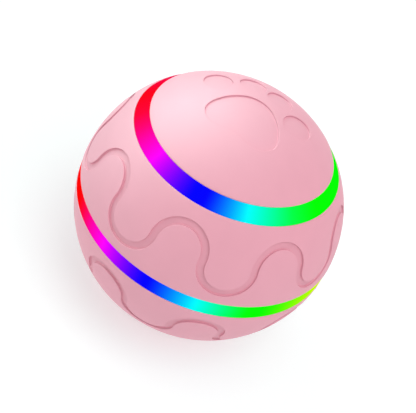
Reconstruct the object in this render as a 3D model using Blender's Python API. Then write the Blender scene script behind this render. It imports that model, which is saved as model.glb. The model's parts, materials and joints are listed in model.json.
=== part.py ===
"""Motion-activated dog ball.

A weighted pod hangs inside a hollow ball on an axle that runs from pole to pole. A motor in the
pod drives a train of gears against the output gear, which is fixed to the shell, so the pod swings
round and the ball rolls. Three frosted rings in the silicone skin carry the light of the LEDs.

The origin is the centre of the small flat that the ball stands on, +Z is the pole axis, and the cap
with the paw print is on top. Heights in the constants below are measured from the ball's centre.
"""

import math

import bmesh
import bpy
from mathutils import Matrix, Vector

MM = 0.001

# Ball
BALL_RADIUS = 40 * MM
BASE_FLAT_RADIUS = 12 * MM
SKIN_THICKNESS = 2.6 * MM
SHELL_WALL = 2.5 * MM
FIT_GAP = 0.3 * MM
POD_CLEARANCE = 1.6 * MM

# Light rings
RING_WIDTH = 5 * MM
RING_SINK = 0.15 * MM
RING_LATITUDE = math.radians(43)

# Wavy groove in the upper band, mirrored in the lower band
WAVE_COUNT = 8
WAVE_CREST_AT = math.radians(-94.1)
WAVE_LOW_LATITUDE = math.radians(9.3)
WAVE_HIGH_LATITUDE = math.radians(32.1)
WAVE_FLANK = math.radians(1.5)
GROOVE_WIDTH = 1.5 * MM
GROOVE_DEPTH = 0.7 * MM

# Paw print in the top cap, laid out on the surface from the pole
PAW_TURN = math.radians(-10)
PAW_DEPTH = 0.6 * MM
PAD_HALF_WIDTH = 11.1 * MM
PAD_HEIGHT = 16.7 * MM
PAD_TOP = 2.5 * MM
PAD_OUTLINE_SHARES = (
    (0.32, 0.95), (0.61, 0.80), (0.84, 0.61), (0.99, 0.40), (0.98, 0.22), (0.78, 0.06), (0.44, 0.00),
)
PAD_TOP_SHARE = 1.0
PAD_NOTCH_SHARE = 0.04
OUTER_TOE_LENGTH = 11.2 * MM
OUTER_TOE_WIDTH = 8.4 * MM
OUTER_TOE_SIDE = 13.2 * MM
OUTER_TOE_UP = 4.3 * MM
OUTER_TOE_TILT = math.radians(25)
INNER_TOE_LENGTH = 9.8 * MM
INNER_TOE_WIDTH = 8 * MM
INNER_TOE_SIDE = 4.5 * MM
INNER_TOE_UP = 10.3 * MM
INNER_TOE_TILT = math.radians(8)
TOE_SHIFT = -0.9 * MM

# Lap joint of the two shells, with its seal
LAP_TONGUE_WALL = 1.1 * MM
LAP_TONGUE_HEIGHT = 2 * MM
SEAL_THICKNESS = 1 * MM

# Drive axle and its boss under the top of the upper shell
AXLE_RADIUS = 2 * MM
AXLE_FLAT_CUT = 0.5 * MM
AXLE_TAP_DEPTH = 6 * MM
BOSS_RADIUS = 5.5 * MM
BOSS_GAP = 1 * MM
BOSS_ROOF = 1.1 * MM
AXLE_SCREW_RADIUS = 0.9 * MM
AXLE_SCREW_HEAD_RADIUS = 2 * MM
AXLE_SCREW_HEAD = 1.2 * MM
AXLE_SCREW_LENGTH = 6 * MM

# Chassis plate, which carries all of the pod, with its top face at the ball's centre plane
CHASSIS_CLEARANCE = 4.6 * MM
CHASSIS_THICKNESS = 2 * MM
POST_RADIUS = 2 * MM
POST_DISTANCE = 21 * MM
POST_FROM_GEAR = math.radians(43)
POST_FROM_CELL = math.radians(-56)

# Gears: each stage is one face width and one gap above the last
GEAR_MODULE = 0.8 * MM
GEAR_FACE = 2.5 * MM
OUTPUT_FACE = 3.5 * MM
STAGE_GAP = 1.5 * MM
OUTPUT_TEETH = 30
WHEEL_TEETH = 26
SMALL_TEETH = 10
PINION_TEETH = 8
TOOTH_HEAD_SHARE = 0.85
TOOTH_FOOT_SHARE = 1.15
TOOTH_TIP_SHARE = 0.20
TOOTH_ROOT_SHARE = 0.56
GEAR_PIN_RADIUS = 1 * MM
GEAR_1_DISTANCE = 15 * MM
GEAR_1_AT = math.radians(103)

# Gearbox plate over the gears
GEARBOX_PLATE_RADIUS = 23.5 * MM
GEARBOX_PLATE_THICKNESS = 2.5 * MM
AXLE_BEARING_RADIUS = 4.5 * MM
AXLE_BEARING_FLANGE = 0.8 * MM
AXLE_BUSH_RADIUS = 3.4 * MM

# Screws of the pod, sunk into the plates that they hold
SCREW_RADIUS = 0.9 * MM
SCREW_HEAD_RADIUS = 1.7 * MM
SCREW_HEAD = 0.9 * MM
SCREW_LENGTH = 5 * MM

# Motor, hanging under the chassis plate
MOTOR_RADIUS = 6.25 * MM
MOTOR_LENGTH = 17 * MM
MOTOR_WALL = 0.8 * MM
MOTOR_CAP = 1.5 * MM
MOTOR_NOSE_RADIUS = 2.2 * MM
MOTOR_NOSE = 1.4 * MM
MOTOR_DISTANCE = 14 * MM
ROTOR_RADIUS = 4.6 * MM
ROTOR_END_GAP = 2 * MM
SHAFT_RADIUS = 0.75 * MM

# Cell in its holder, which passes through the chassis plate
CELL_RADIUS = 7.1 * MM
CELL_LENGTH = 25 * MM
CELL_ABOVE_CHASSIS = 7 * MM
CELL_NUB_RADIUS = 2.8 * MM
CELL_NUB = 0.8 * MM
CELL_DISTANCE = 12.5 * MM
HOLDER_WALL = 0.8 * MM
MOTOR_CELL_GAP = 0.6 * MM

# Steel counterweight round the heavy side
WEIGHT_HALF_SWEEP = math.radians(35)
WEIGHT_DEPTH = 12 * MM
WEIGHT_INNER_GAP = 0.6 * MM

# Carrier under the chassis plate: pillars, floor plate and the hub tube through the shell
HUB_RADIUS = 9 * MM
HUB_WALL = 1 * MM
HUB_RECESS = 0.55 * MM
CARRIER_PLATE_RADIUS = 15.5 * MM
CARRIER_PLATE_THICKNESS = 2 * MM
HUB_ROOF = 1.2 * MM
COLUMN_RADIUS = 3 * MM
PILLAR_RADIUS = 2 * MM
PILLAR_BACK = -5.5 * MM
PILLAR_SIDE = 11.3 * MM
LEAD_HOLE_RADIUS = 1.6 * MM

# Bush and seal of the hub, in a collar of the lower shell
BUSH_WALL = 1.4 * MM
BUSH_HEIGHT = 2 * MM
HUB_SEAL_HEIGHT = 1.2 * MM
COLLAR_WALL = 1.6 * MM
SKIN_HOLE_GAP = 0.9 * MM

# Circuit board, upright between the carrier's floor and the chassis plate
BOARD_THICKNESS = 1.2 * MM
BOARD_WIDTH = 22 * MM
BOARD_BACK = -10 * MM
CHIP_SIDE = 6 * MM
CHIP_HEIGHT = 1 * MM
SENSOR_RADIUS = 1.8 * MM
SENSOR_LENGTH = 7 * MM
SENSOR_SIDE = 6 * MM

# LEDs
LED_BOARD_WIDTH = 2.2 * MM
LED_BOARD_THICKNESS = 0.8 * MM
LED_WIDTH = 2 * MM
LED_DEPTH = 1.6 * MM
LED_HEIGHT = 1.2 * MM
LEDS_PER_RING = 3
LED_RIM_INSET = 1.2 * MM

# Face of the hub: power button and charging socket
HUB_FACE_THICKNESS = 1.6 * MM
CHARGE_BOARD_THICKNESS = 0.8 * MM
BUTTON_RADIUS = 2.6 * MM
BUTTON_FLANGE = 0.8 * MM
BUTTON_FLANGE_LIP = 0.8 * MM
BUTTON_STEM_RADIUS = 1.2 * MM
BUTTON_PROUD = 0.1 * MM
BUTTON_TRAVEL = 0.5 * MM
BUTTON_BACK = -4.1 * MM
SWITCH_SIDE = 4.5 * MM
SWITCH_HEIGHT = 3 * MM
SWITCH_STEM_RADIUS = 1 * MM
SWITCH_STEM = 1.2 * MM
SOCKET_LENGTH = 8.9 * MM
SOCKET_WIDTH = 3.2 * MM
SOCKET_WALL = 0.3 * MM
SOCKET_FLOOR = 1 * MM
SOCKET_FORWARD = 2.6 * MM
SOCKET_MOUTH_SINK = 1.2 * MM
TONGUE_LENGTH = 6.7 * MM
TONGUE_WIDTH = 0.7 * MM
TONGUE_SINK = 1.1 * MM
PLUG_LENGTH = 9.8 * MM
PLUG_WIDTH = 5.4 * MM
PLUG_THICKNESS = 0.7 * MM
PLUG_SINK = 0.1 * MM
PLUG_TAB_LENGTH = 0.8 * MM
PLUG_TAB_WIDTH = 3 * MM
PRONG_LENGTH = 7.4 * MM
PRONG_WIDTH = 1.8 * MM
PRONG_HEIGHT = 0.8 * MM

# Leads
LEAD_RADIUS = 0.55 * MM
LEAD_STEP = 2 * MM
LEAD_DROP = 1.6 * MM
LEAD_SPREAD = 1.8 * MM
LEAD_BOARD_SIDE = 6.8 * MM

# Counts of facets, and distances that only the modelling uses
SEGMENTS = 40
SHELL_SEGMENTS = 36
MID_SEGMENTS = 20
SMALL_SEGMENTS = 12
CAP_ROWS = 5
BAND_ROWS = 4
BASE_ROWS = 3
RING_ROWS = 2
SHELL_ROWS = 5
WAVE_STATIONS = 10
TOE_POINTS = 12
LEAD_SIDES_RESOLUTION = 1
SHARP_ANGLE = math.radians(35)
OVERRUN = 1 * MM
MERGE = 0.001 * MM

# Radii and heights that follow from the sizes above
SKIN_INNER = BALL_RADIUS - SKIN_THICKNESS
SHELL_OUTER = SKIN_INNER - FIT_GAP
SHELL_INNER = SHELL_OUTER - SHELL_WALL
POD_RADIUS = SHELL_INNER - POD_CLEARANCE
CHASSIS_RADIUS = SHELL_INNER - CHASSIS_CLEARANCE
RING_HALF_ANGLE = RING_WIDTH / 2 / BALL_RADIUS
RING_GAP_ANGLE = FIT_GAP / BALL_RADIUS
BASE_DROP = math.sqrt(BALL_RADIUS**2 - BASE_FLAT_RADIUS**2)
BORE_GAP_RADIUS = AXLE_RADIUS + FIT_GAP
SCREW_WELL_RADIUS = AXLE_SCREW_HEAD_RADIUS + FIT_GAP
SCREW_SEAT = math.sqrt(SHELL_OUTER**2 - SCREW_WELL_RADIUS**2) - AXLE_SCREW_HEAD - 2 * FIT_GAP
AXLE_BORE_TOP = SCREW_SEAT - BOSS_ROOF

CHASSIS_BOTTOM = -CHASSIS_THICKNESS
UNDER_CHASSIS = CHASSIS_BOTTOM - FIT_GAP
STAGE_1 = STAGE_GAP
STAGE_2 = STAGE_1 + GEAR_FACE + STAGE_GAP
OUTPUT_BOTTOM = STAGE_2 + GEAR_FACE + STAGE_GAP
OUTPUT_TOP = OUTPUT_BOTTOM + OUTPUT_FACE
PLATE_BOTTOM = OUTPUT_TOP + STAGE_GAP
PLATE_TOP = PLATE_BOTTOM + GEARBOX_PLATE_THICKNESS
BOSS_BOTTOM = PLATE_TOP + AXLE_BEARING_FLANGE + BOSS_GAP
POST_TOP = PLATE_BOTTOM - FIT_GAP

HUB_FACE = -BASE_DROP + HUB_RECESS
BUSH_INNER = HUB_RADIUS + FIT_GAP
BUSH_OUTER = BUSH_INNER + BUSH_WALL
COLLAR_BORE = BUSH_OUTER + FIT_GAP
COLLAR_OUTER = COLLAR_BORE + COLLAR_WALL
SHELL_HOLE = BUSH_INNER + FIT_GAP
LEDGE = -math.sqrt(SHELL_INNER**2 - COLLAR_BORE**2)
BUSH_BOTTOM = LEDGE + FIT_GAP
HUB_SEAL_BOTTOM = BUSH_BOTTOM + BUSH_HEIGHT + FIT_GAP
COLLAR_TOP = HUB_SEAL_BOTTOM + HUB_SEAL_HEIGHT + FIT_GAP
CARRIER_BOTTOM = COLLAR_TOP + FIT_GAP
CARRIER_TOP = CARRIER_BOTTOM + CARRIER_PLATE_THICKNESS
HUB_BORE = HUB_RADIUS - HUB_WALL
HUB_CEILING = CARRIER_TOP - HUB_ROOF
HUB_INSIDE = HUB_FACE + HUB_FACE_THICKNESS

# Centres of the gears in the plane of the chassis, each pair a pitch distance apart
OUTPUT_TO_2 = GEAR_MODULE * (OUTPUT_TEETH + SMALL_TEETH) / 2
STAGE_2_TO_1 = GEAR_MODULE * (WHEEL_TEETH + SMALL_TEETH) / 2
STAGE_1_TO_MOTOR = GEAR_MODULE * (WHEEL_TEETH + PINION_TEETH) / 2


def polar(distance, angle):
    """A point in the plane, at a distance from the pole axis."""
    return Vector((distance * math.cos(angle), distance * math.sin(angle)))


def angle_between(side_a, side_b, opposite):
    """The angle between two sides of a triangle, from the third side."""
    return math.acos((side_a**2 + side_b**2 - opposite**2) / (2 * side_a * side_b))


def heading(start, end):
    """The direction from one point in the plane to another."""
    step = end - start
    return math.atan2(step.y, step.x)


GEAR_2_AT = GEAR_1_AT + angle_between(OUTPUT_TO_2, GEAR_1_DISTANCE, STAGE_2_TO_1)
MOTOR_AT = GEAR_1_AT - angle_between(GEAR_1_DISTANCE, MOTOR_DISTANCE, STAGE_1_TO_MOTOR)
HOLDER_BORE = CELL_RADIUS + FIT_GAP
HOLDER_RADIUS = HOLDER_BORE + HOLDER_WALL
CELL_AT = MOTOR_AT - angle_between(
    MOTOR_DISTANCE, CELL_DISTANCE, MOTOR_RADIUS + HOLDER_RADIUS + MOTOR_CELL_GAP
)
HEAVY_SIDE_AT = (MOTOR_AT + CELL_AT) / 2
GEAR_1_CENTRE = polar(GEAR_1_DISTANCE, GEAR_1_AT)
GEAR_2_CENTRE = polar(OUTPUT_TO_2, GEAR_2_AT)
MOTOR_CENTRE = polar(MOTOR_DISTANCE, MOTOR_AT)
CELL_CENTRE = polar(CELL_DISTANCE, CELL_AT)
CELL_TOP = CELL_ABOVE_CHASSIS
CELL_BOTTOM = CELL_TOP - CELL_LENGTH
HOLDER_BOTTOM = CELL_BOTTOM - FIT_GAP - HOLDER_WALL
MOTOR_TOP = UNDER_CHASSIS
MOTOR_BOTTOM = MOTOR_TOP - MOTOR_LENGTH
POST_CENTRES = (
    polar(POST_DISTANCE, GEAR_1_AT - POST_FROM_GEAR),
    polar(POST_DISTANCE, GEAR_2_AT + POST_FROM_GEAR),
    polar(POST_DISTANCE, CELL_AT + POST_FROM_CELL),
)
PILLAR_CENTRES = (Vector((PILLAR_BACK, PILLAR_SIDE)), Vector((PILLAR_BACK, -PILLAR_SIDE)))
WEIGHT_INNER = (
    max(MOTOR_DISTANCE + MOTOR_RADIUS, CELL_DISTANCE + HOLDER_RADIUS) + WEIGHT_INNER_GAP
)
WEIGHT_SCREW_CENTRE = polar((WEIGHT_INNER + CHASSIS_RADIUS) / 2, HEAVY_SIDE_AT)
BUTTON_CENTRE = Vector((BUTTON_BACK, 0))
SOCKET_CENTRE = Vector((SOCKET_FORWARD, 0))
SWITCH_BOTTOM = HUB_CEILING - FIT_GAP * 2 - CHARGE_BOARD_THICKNESS - SWITCH_HEIGHT


# Materials: base colour, roughness, metallic, transmission
FINISHES = {
    "pink_silicone": ((0.83, 0.47, 0.54), 0.62, 0.0, 0.0),
    "light_diffuser": ((0.95, 0.93, 0.96), 0.35, 0.0, 0.3),
    "clear_plastic": ((0.90, 0.92, 0.94), 0.15, 0.0, 0.6),
    "black_plastic": ((0.03, 0.03, 0.035), 0.45, 0.0, 0.0),
    "grey_plastic": ((0.35, 0.36, 0.38), 0.45, 0.0, 0.0),
    "white_nylon": ((0.88, 0.87, 0.83), 0.40, 0.0, 0.0),
    "steel": ((0.62, 0.62, 0.64), 0.30, 1.0, 0.0),
    "zinc_plate": ((0.70, 0.71, 0.72), 0.38, 1.0, 0.0),
    "brass": ((0.80, 0.62, 0.28), 0.30, 1.0, 0.0),
    "copper_winding": ((0.62, 0.30, 0.16), 0.40, 1.0, 0.0),
    "black_rubber": ((0.04, 0.04, 0.04), 0.70, 0.0, 0.0),
    "green_board": ((0.03, 0.22, 0.10), 0.40, 0.0, 0.0),
    "white_board": ((0.86, 0.87, 0.86), 0.45, 0.0, 0.0),
    "led_package": ((0.95, 0.90, 0.62), 0.25, 0.0, 0.0),
    "cell_wrap": ((0.05, 0.16, 0.45), 0.35, 0.0, 0.0),
    "red_lead": ((0.60, 0.04, 0.03), 0.45, 0.0, 0.0),
    "black_lead": ((0.02, 0.02, 0.02), 0.45, 0.0, 0.0),
}


def finish(name, kind):
    """A material of one object's own, in one of the finishes."""
    colour, roughness, metallic, transmission = FINISHES[kind]
    made = bpy.data.materials.new(f"{name}_{kind}")
    made.use_nodes = True
    shader = made.node_tree.nodes["Principled BSDF"]
    shader.inputs["Base Color"].default_value = (*colour, 1)
    shader.inputs["Roughness"].default_value = roughness
    shader.inputs["Metallic"].default_value = metallic
    shader.inputs["Transmission Weight"].default_value = transmission
    made.diffuse_color = (*colour, 1)
    return made


def empty(name, place, parent=None):
    """An empty that carries pieces, on a joint's axis where they move."""
    carrier = bpy.data.objects.new(name, None)
    carrier.location = place
    carrier.parent = parent
    carrier.empty_display_size = BOSS_RADIUS
    bpy.context.collection.objects.link(carrier)
    return carrier


def place_mesh(name, solid, parent):
    """An object made from a bmesh, whose faces are turned to point out."""
    bmesh.ops.recalc_face_normals(solid, faces=solid.faces[:])
    mesh = bpy.data.meshes.new(name)
    solid.to_mesh(mesh)
    solid.free()
    made = bpy.data.objects.new(name, mesh)
    made.parent = parent
    bpy.context.collection.objects.link(made)
    return made


def piece(name, solid, kind, parent):
    """A piece of the ball, in its finish, with round faces shaded smooth."""
    made = place_mesh(name, solid, parent)
    made.data.materials.append(finish(name, kind))
    made.data.shade_smooth()
    made.data.set_sharp_from_angle(angle=SHARP_ANGLE)
    return made


def combine(target, solid, operation):
    """Adds a Boolean with a hidden guide to a piece."""
    guide = place_mesh(f"{target.name}_guide", solid, target.parent)
    guide.hide_render = True
    guide.display_type = "WIRE"
    step = target.modifiers.new(operation.lower(), "BOOLEAN")
    step.operation = operation
    step.solver = "EXACT"
    step.object = guide


def cut(target, *solids):
    """Takes solids that don't touch each other out of a piece."""
    combine(target, joined(solids), "DIFFERENCE")


def fuse(target, *solids):
    """Adds solids that don't touch each other to a piece."""
    combine(target, joined(solids), "UNION")


def joined(solids):
    """One bmesh that holds several solids."""
    first, *rest = solids
    for solid in rest:
        mesh = bpy.data.meshes.new("joined")
        solid.to_mesh(mesh)
        solid.free()
        first.from_mesh(mesh)
        bpy.data.meshes.remove(mesh)
    return first


def turned(profile, closed=True, segments=SEGMENTS, centre=(0, 0)):
    """A profile of (radius, height) points turned round an upright axis. An open one ends on it."""
    solid = bmesh.new()
    points = [solid.verts.new((radius, 0, height)) for radius, height in profile]
    lines = [solid.edges.new(pair) for pair in zip(points, points[1:])]
    if closed:
        lines.append(solid.edges.new((points[-1], points[0])))
    bmesh.ops.spin(
        solid,
        geom=points + lines,
        axis=(0, 0, 1),
        cent=(0, 0, 0),
        angle=math.tau,
        steps=segments,
        use_merge=True,
    )
    bmesh.ops.remove_doubles(solid, verts=solid.verts[:], dist=MERGE)
    bmesh.ops.translate(solid, verts=solid.verts[:], vec=(*centre, 0))
    return solid


def prism(outline, bottom, top, centre=(0, 0)):
    """An outline in the plane, raised from one height to another."""
    solid = bmesh.new()
    corners = [solid.verts.new((x + centre[0], y + centre[1], bottom)) for x, y in outline]
    raised = bmesh.ops.extrude_face_region(solid, geom=[solid.faces.new(corners)])
    for item in raised["geom"]:
        if isinstance(item, bmesh.types.BMVert):
            item.co.z = top
    return solid


def circle(radius, segments=SMALL_SEGMENTS):
    """The outline of a disc."""
    return [polar(radius, math.tau * i / segments) for i in range(segments)]


def disc(radius, bottom, top, centre=(0, 0), segments=SMALL_SEGMENTS):
    """A plain round solid, used for pins, posts and holes."""
    return prism(circle(radius, segments), bottom, top, centre)


def block(size_x, size_y, bottom, top, centre=(0, 0)):
    """A box between two heights."""
    x, y = size_x / 2, size_y / 2
    return prism([(x, y), (-x, y), (-x, -y), (x, -y)], bottom, top, centre)


def slot(length, width, bottom, top, centre=(0, 0)):
    """A solid with half-round ends, long in Y."""
    radius = width / 2
    reach = length / 2 - radius
    half_steps = SMALL_SEGMENTS // 2
    right = [polar(radius, math.pi * i / half_steps) for i in range(half_steps + 1)]
    outline = [(p.x, p.y + reach) for p in right] + [(-p.x, -p.y - reach) for p in right]
    return prism(outline, bottom, top, centre)


def flatted_disc(radius, flat_cut, bottom, top):
    """A disc with a flat on its +X side."""
    flat = radius - flat_cut
    half = math.acos(flat / radius)
    sweep = math.tau - 2 * half
    steps = MID_SEGMENTS // 2
    outline = [polar(radius, half + sweep * i / steps) for i in range(steps + 1)]
    return prism(outline, bottom, top)


def arc(radius, start, end, steps):
    """Points on a sphere's outline, from one latitude to another, as (radius, height)."""
    points = []
    for i in range(steps + 1):
        latitude = start + (end - start) * i / steps
        on_pole = abs(latitude) > math.pi / 2 - MERGE
        points.append((0 if on_pole else radius * math.cos(latitude), radius * math.sin(latitude)))
    return points


def latitude_at(radius, distance):
    """The latitude at which a sphere is this far from the pole axis."""
    return math.acos(distance / radius)


def on_sphere(radius, latitude, azimuth):
    """A point on a sphere about the ball's centre."""
    flat = polar(radius * math.cos(latitude), azimuth)
    return Vector((flat.x, flat.y, radius * math.sin(latitude)))


def on_cap(radius, side, up):
    """A point of the paw print, laid out along the surface from the pole and turned."""
    distance = math.hypot(side, up)
    azimuth = math.atan2(up, side) + PAW_TURN
    return on_sphere(radius, math.pi / 2 - distance / BALL_RADIUS, azimuth)


def sector(start, end, outer, inner, rows_outer, rows_inner):
    """The closed profile of a spherical band between two latitudes."""
    return arc(outer, start, end, rows_outer) + arc(inner, end, start, rows_inner)


def wave_centre(station):
    """Latitude and azimuth of the groove's middle line at one station of the way round."""
    half_wave = math.pi / WAVE_COUNT
    stations = WAVE_STATIONS // 2
    turn, step = divmod(station, stations)
    rise = (WAVE_HIGH_LATITUDE - WAVE_LOW_LATITUDE - WAVE_FLANK) / 2
    sweep = math.pi * (step + 0.5) / stations
    azimuth = WAVE_CREST_AT + half_wave * (turn - math.cos(sweep) / 2)
    bulge = rise * math.sin(sweep)
    if turn % 2:
        return WAVE_LOW_LATITUDE + rise - bulge, azimuth
    return WAVE_HIGH_LATITUDE - rise + bulge, azimuth


def wave_cutter(side):
    """A closed ribbon along the wave, as wide as the groove. Side is 1 above the equator, -1 below."""
    stations = WAVE_COUNT * (WAVE_STATIONS // 2) * 2
    middle = [wave_centre(i) for i in range(stations)]
    floor, roof = BALL_RADIUS - GROOVE_DEPTH, BALL_RADIUS + OVERRUN
    solid = bmesh.new()
    rings = []
    for i, (latitude, azimuth) in enumerate(middle):
        here = on_sphere(1, latitude, azimuth)
        before = on_sphere(1, *middle[i - 1])
        after = on_sphere(1, *middle[(i + 1) % stations])
        across = here.cross(after - before).normalized() * (GROOVE_WIDTH / 2 / BALL_RADIUS)
        left, right = (here + across).normalized(), (here - across).normalized()
        corners = (left * floor, left * roof, right * roof, right * floor)
        rings.append([solid.verts.new((p.x, p.y, p.z * side)) for p in corners])
    for ring, following in zip(rings, rings[1:] + rings[:1]):
        for a in range(len(ring)):
            b = (a + 1) % len(ring)
            solid.faces.new((ring[a], ring[b], following[b], following[a]))
    return solid


def pocket(outline):
    """A pocket of the paw print: an outline on the surface, its floor curved with the ball."""
    floor, roof = BALL_RADIUS - PAW_DEPTH, BALL_RADIUS + OVERRUN
    middle = sum((Vector(point) for point in outline), Vector((0, 0))) / len(outline)
    halfway = [(Vector(point) + middle) / 2 for point in outline]
    solid = bmesh.new()
    top = [solid.verts.new(on_cap(roof, *point)) for point in outline]
    rim = [solid.verts.new(on_cap(floor, *point)) for point in outline]
    ring = [solid.verts.new(on_cap(floor, *point)) for point in halfway]
    lid = solid.verts.new(on_cap(roof, *middle))
    bed = solid.verts.new(on_cap(floor, *middle))
    for a in range(len(outline)):
        b = (a + 1) % len(outline)
        solid.faces.new((top[a], top[b], lid))
        solid.faces.new((top[a], rim[a], rim[b], top[b]))
        solid.faces.new((rim[a], ring[a], ring[b], rim[b]))
        solid.faces.new((ring[a], bed, ring[b]))
    return solid


def pad_outline():
    """The large pad of the paw, the same on both sides of its middle line."""
    foot = PAD_TOP - PAD_HEIGHT
    right = [(x * PAD_HALF_WIDTH, foot + y * PAD_HEIGHT) for x, y in PAD_OUTLINE_SHARES]
    left = [(-x, y) for x, y in reversed(right)]
    top = (0, foot + PAD_TOP_SHARE * PAD_HEIGHT)
    notch = (0, foot + PAD_NOTCH_SHARE * PAD_HEIGHT)
    return [top, *right, notch, *left]


def toe_outline(length, width, side, up, tilt):
    """An oval toe, leaning out by its tilt."""
    outline = []
    for i in range(TOE_POINTS):
        turn = math.tau * i / TOE_POINTS
        across, along = width / 2 * math.cos(turn), length / 2 * math.sin(turn)
        x = across * math.cos(tilt) + along * math.sin(tilt)
        y = along * math.cos(tilt) - across * math.sin(tilt)
        outline.append((side + x + TOE_SHIFT, up + y))
    return outline


def gear_outline(teeth, tooth_at):
    """The outline of a spur gear with straight-sided teeth, one of them at a given angle."""
    pitch_angle = math.tau / teeth
    root = GEAR_MODULE * (teeth / 2 - TOOTH_FOOT_SHARE)
    tip = GEAR_MODULE * (teeth / 2 + TOOTH_HEAD_SHARE)
    outline = []
    for i in range(teeth):
        middle = tooth_at + pitch_angle * i
        for radius, share in (
            (root, -TOOTH_ROOT_SHARE), (tip, -TOOTH_TIP_SHARE),
            (tip, TOOTH_TIP_SHARE), (root, TOOTH_ROOT_SHARE),
        ):
            outline.append(polar(radius, middle + pitch_angle * share / 2))
    return outline


def facing_gap(direction, teeth):
    """Where a gear has a tooth, so that a gap faces back along the line from its driver."""
    return direction + math.pi + math.pi / teeth


def build_covers(ball):
    """The silicone skin, in four parts that the light rings separate."""
    edge = RING_HALF_ANGLE + RING_GAP_ANGLE
    cap = arc(BALL_RADIUS, math.pi / 2, RING_LATITUDE + edge, CAP_ROWS)
    cap += arc(SKIN_INNER, RING_LATITUDE + edge, math.pi / 2, BAND_ROWS)
    cap = piece("upper_cap_cover", turned(cap, closed=False), "pink_silicone", ball)
    pockets = [pocket(pad_outline())]
    for side in (-1, 1):
        outer = toe_outline(
            OUTER_TOE_LENGTH, OUTER_TOE_WIDTH, side * OUTER_TOE_SIDE, OUTER_TOE_UP, side * OUTER_TOE_TILT
        )
        inner = toe_outline(
            INNER_TOE_LENGTH, INNER_TOE_WIDTH, side * INNER_TOE_SIDE, INNER_TOE_UP, side * INNER_TOE_TILT
        )
        pockets += [pocket(outer), pocket(inner)]
    cut(cap, *pockets)

    for side, name in ((1, "upper_band_cover"), (-1, "lower_band_cover")):
        low, high = side * edge, side * (RING_LATITUDE - edge)
        band = turned(sector(low, high, BALL_RADIUS, SKIN_INNER, BAND_ROWS, BAND_ROWS))
        band = piece(name, band, "pink_silicone", ball)
        cut(band, wave_cutter(side))

    base = -latitude_at(BALL_RADIUS, BASE_FLAT_RADIUS)
    hole = HUB_RADIUS + SKIN_HOLE_GAP
    inside = -latitude_at(SKIN_INNER, hole)
    profile = arc(BALL_RADIUS, -RING_LATITUDE - edge, base, BASE_ROWS)
    profile += [(hole, -BASE_DROP)]
    profile += arc(SKIN_INNER, inside, -RING_LATITUDE - edge, BASE_ROWS)
    piece("lower_cap_cover", turned(profile), "pink_silicone", ball)


def build_light_rings(ball):
    """The frosted rings, let into the skin and seated on the shell."""
    outer = BALL_RADIUS - RING_SINK
    for name, middle in (("upper", RING_LATITUDE), ("middle", 0), ("lower", -RING_LATITUDE)):
        low, high = middle - RING_HALF_ANGLE, middle + RING_HALF_ANGLE
        ring = turned(sector(low, high, outer, SKIN_INNER, RING_ROWS, 1))
        piece(f"{name}_light_ring", ring, "light_diffuser", ball)


def build_shells(ball):
    """The two clear halves, with a lap joint at the equator and a seal in it."""
    half_gap = FIT_GAP / 2
    tongue_outer = SHELL_INNER + LAP_TONGUE_WALL
    step_radius = tongue_outer + FIT_GAP
    seal_bottom = LAP_TONGUE_HEIGHT + FIT_GAP
    step_top = seal_bottom + SEAL_THICKNESS + FIT_GAP
    screw_bore = AXLE_SCREW_RADIUS + FIT_GAP

    well_edge = latitude_at(SHELL_OUTER, SCREW_WELL_RADIUS)
    upper = arc(SHELL_OUTER, half_gap / SHELL_OUTER, well_edge, SHELL_ROWS)
    upper += [(SCREW_WELL_RADIUS, SCREW_SEAT), (screw_bore, SCREW_SEAT)]
    upper += [(screw_bore, BOSS_BOTTOM), (BOSS_RADIUS, BOSS_BOTTOM)]
    boss_edge = latitude_at(SHELL_INNER, BOSS_RADIUS)
    upper += arc(SHELL_INNER, boss_edge, step_top / SHELL_INNER, SHELL_ROWS - 1)
    upper += [(step_radius, step_top), (step_radius, half_gap)]
    shell = piece("upper_shell", turned(upper, segments=SHELL_SEGMENTS), "clear_plastic", ball)
    cut(shell, flatted_disc(BORE_GAP_RADIUS, AXLE_FLAT_CUT, BOSS_BOTTOM - OVERRUN, AXLE_BORE_TOP))

    hole_edge = -latitude_at(SHELL_OUTER, SHELL_HOLE)
    lower = arc(SHELL_OUTER, -half_gap / SHELL_OUTER, hole_edge, SHELL_ROWS)
    lower += [(SHELL_HOLE, LEDGE), (COLLAR_BORE, LEDGE), (COLLAR_BORE, COLLAR_TOP)]
    lower += [(COLLAR_OUTER, COLLAR_TOP)]
    lower += arc(SHELL_INNER, -latitude_at(SHELL_INNER, COLLAR_OUTER), 0, SHELL_ROWS - 1)
    lower += [(SHELL_INNER, LAP_TONGUE_HEIGHT), (tongue_outer, LAP_TONGUE_HEIGHT)]
    lower += [(tongue_outer, -half_gap)]
    piece("lower_shell", turned(lower, segments=SHELL_SEGMENTS), "clear_plastic", ball)

    seal = [
        (SHELL_INNER, seal_bottom), (tongue_outer, seal_bottom),
        (tongue_outer, seal_bottom + SEAL_THICKNESS), (SHELL_INNER, seal_bottom + SEAL_THICKNESS),
    ]
    piece("shell_seal", turned(seal, segments=SHELL_SEGMENTS), "black_rubber", ball)

    bush = [
        (BUSH_INNER, BUSH_BOTTOM), (BUSH_OUTER, BUSH_BOTTOM),
        (BUSH_OUTER, BUSH_BOTTOM + BUSH_HEIGHT), (BUSH_INNER, BUSH_BOTTOM + BUSH_HEIGHT),
    ]
    piece("hub_bush", turned(bush, segments=MID_SEGMENTS), "brass", ball)
    lip_middle = HUB_SEAL_BOTTOM + HUB_SEAL_HEIGHT / 2
    hub_seal = [
        (BUSH_INNER, lip_middle), (BUSH_OUTER, HUB_SEAL_BOTTOM),
        (BUSH_OUTER, HUB_SEAL_BOTTOM + HUB_SEAL_HEIGHT),
    ]
    piece("hub_seal", turned(hub_seal, segments=MID_SEGMENTS), "black_rubber", ball)


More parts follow.
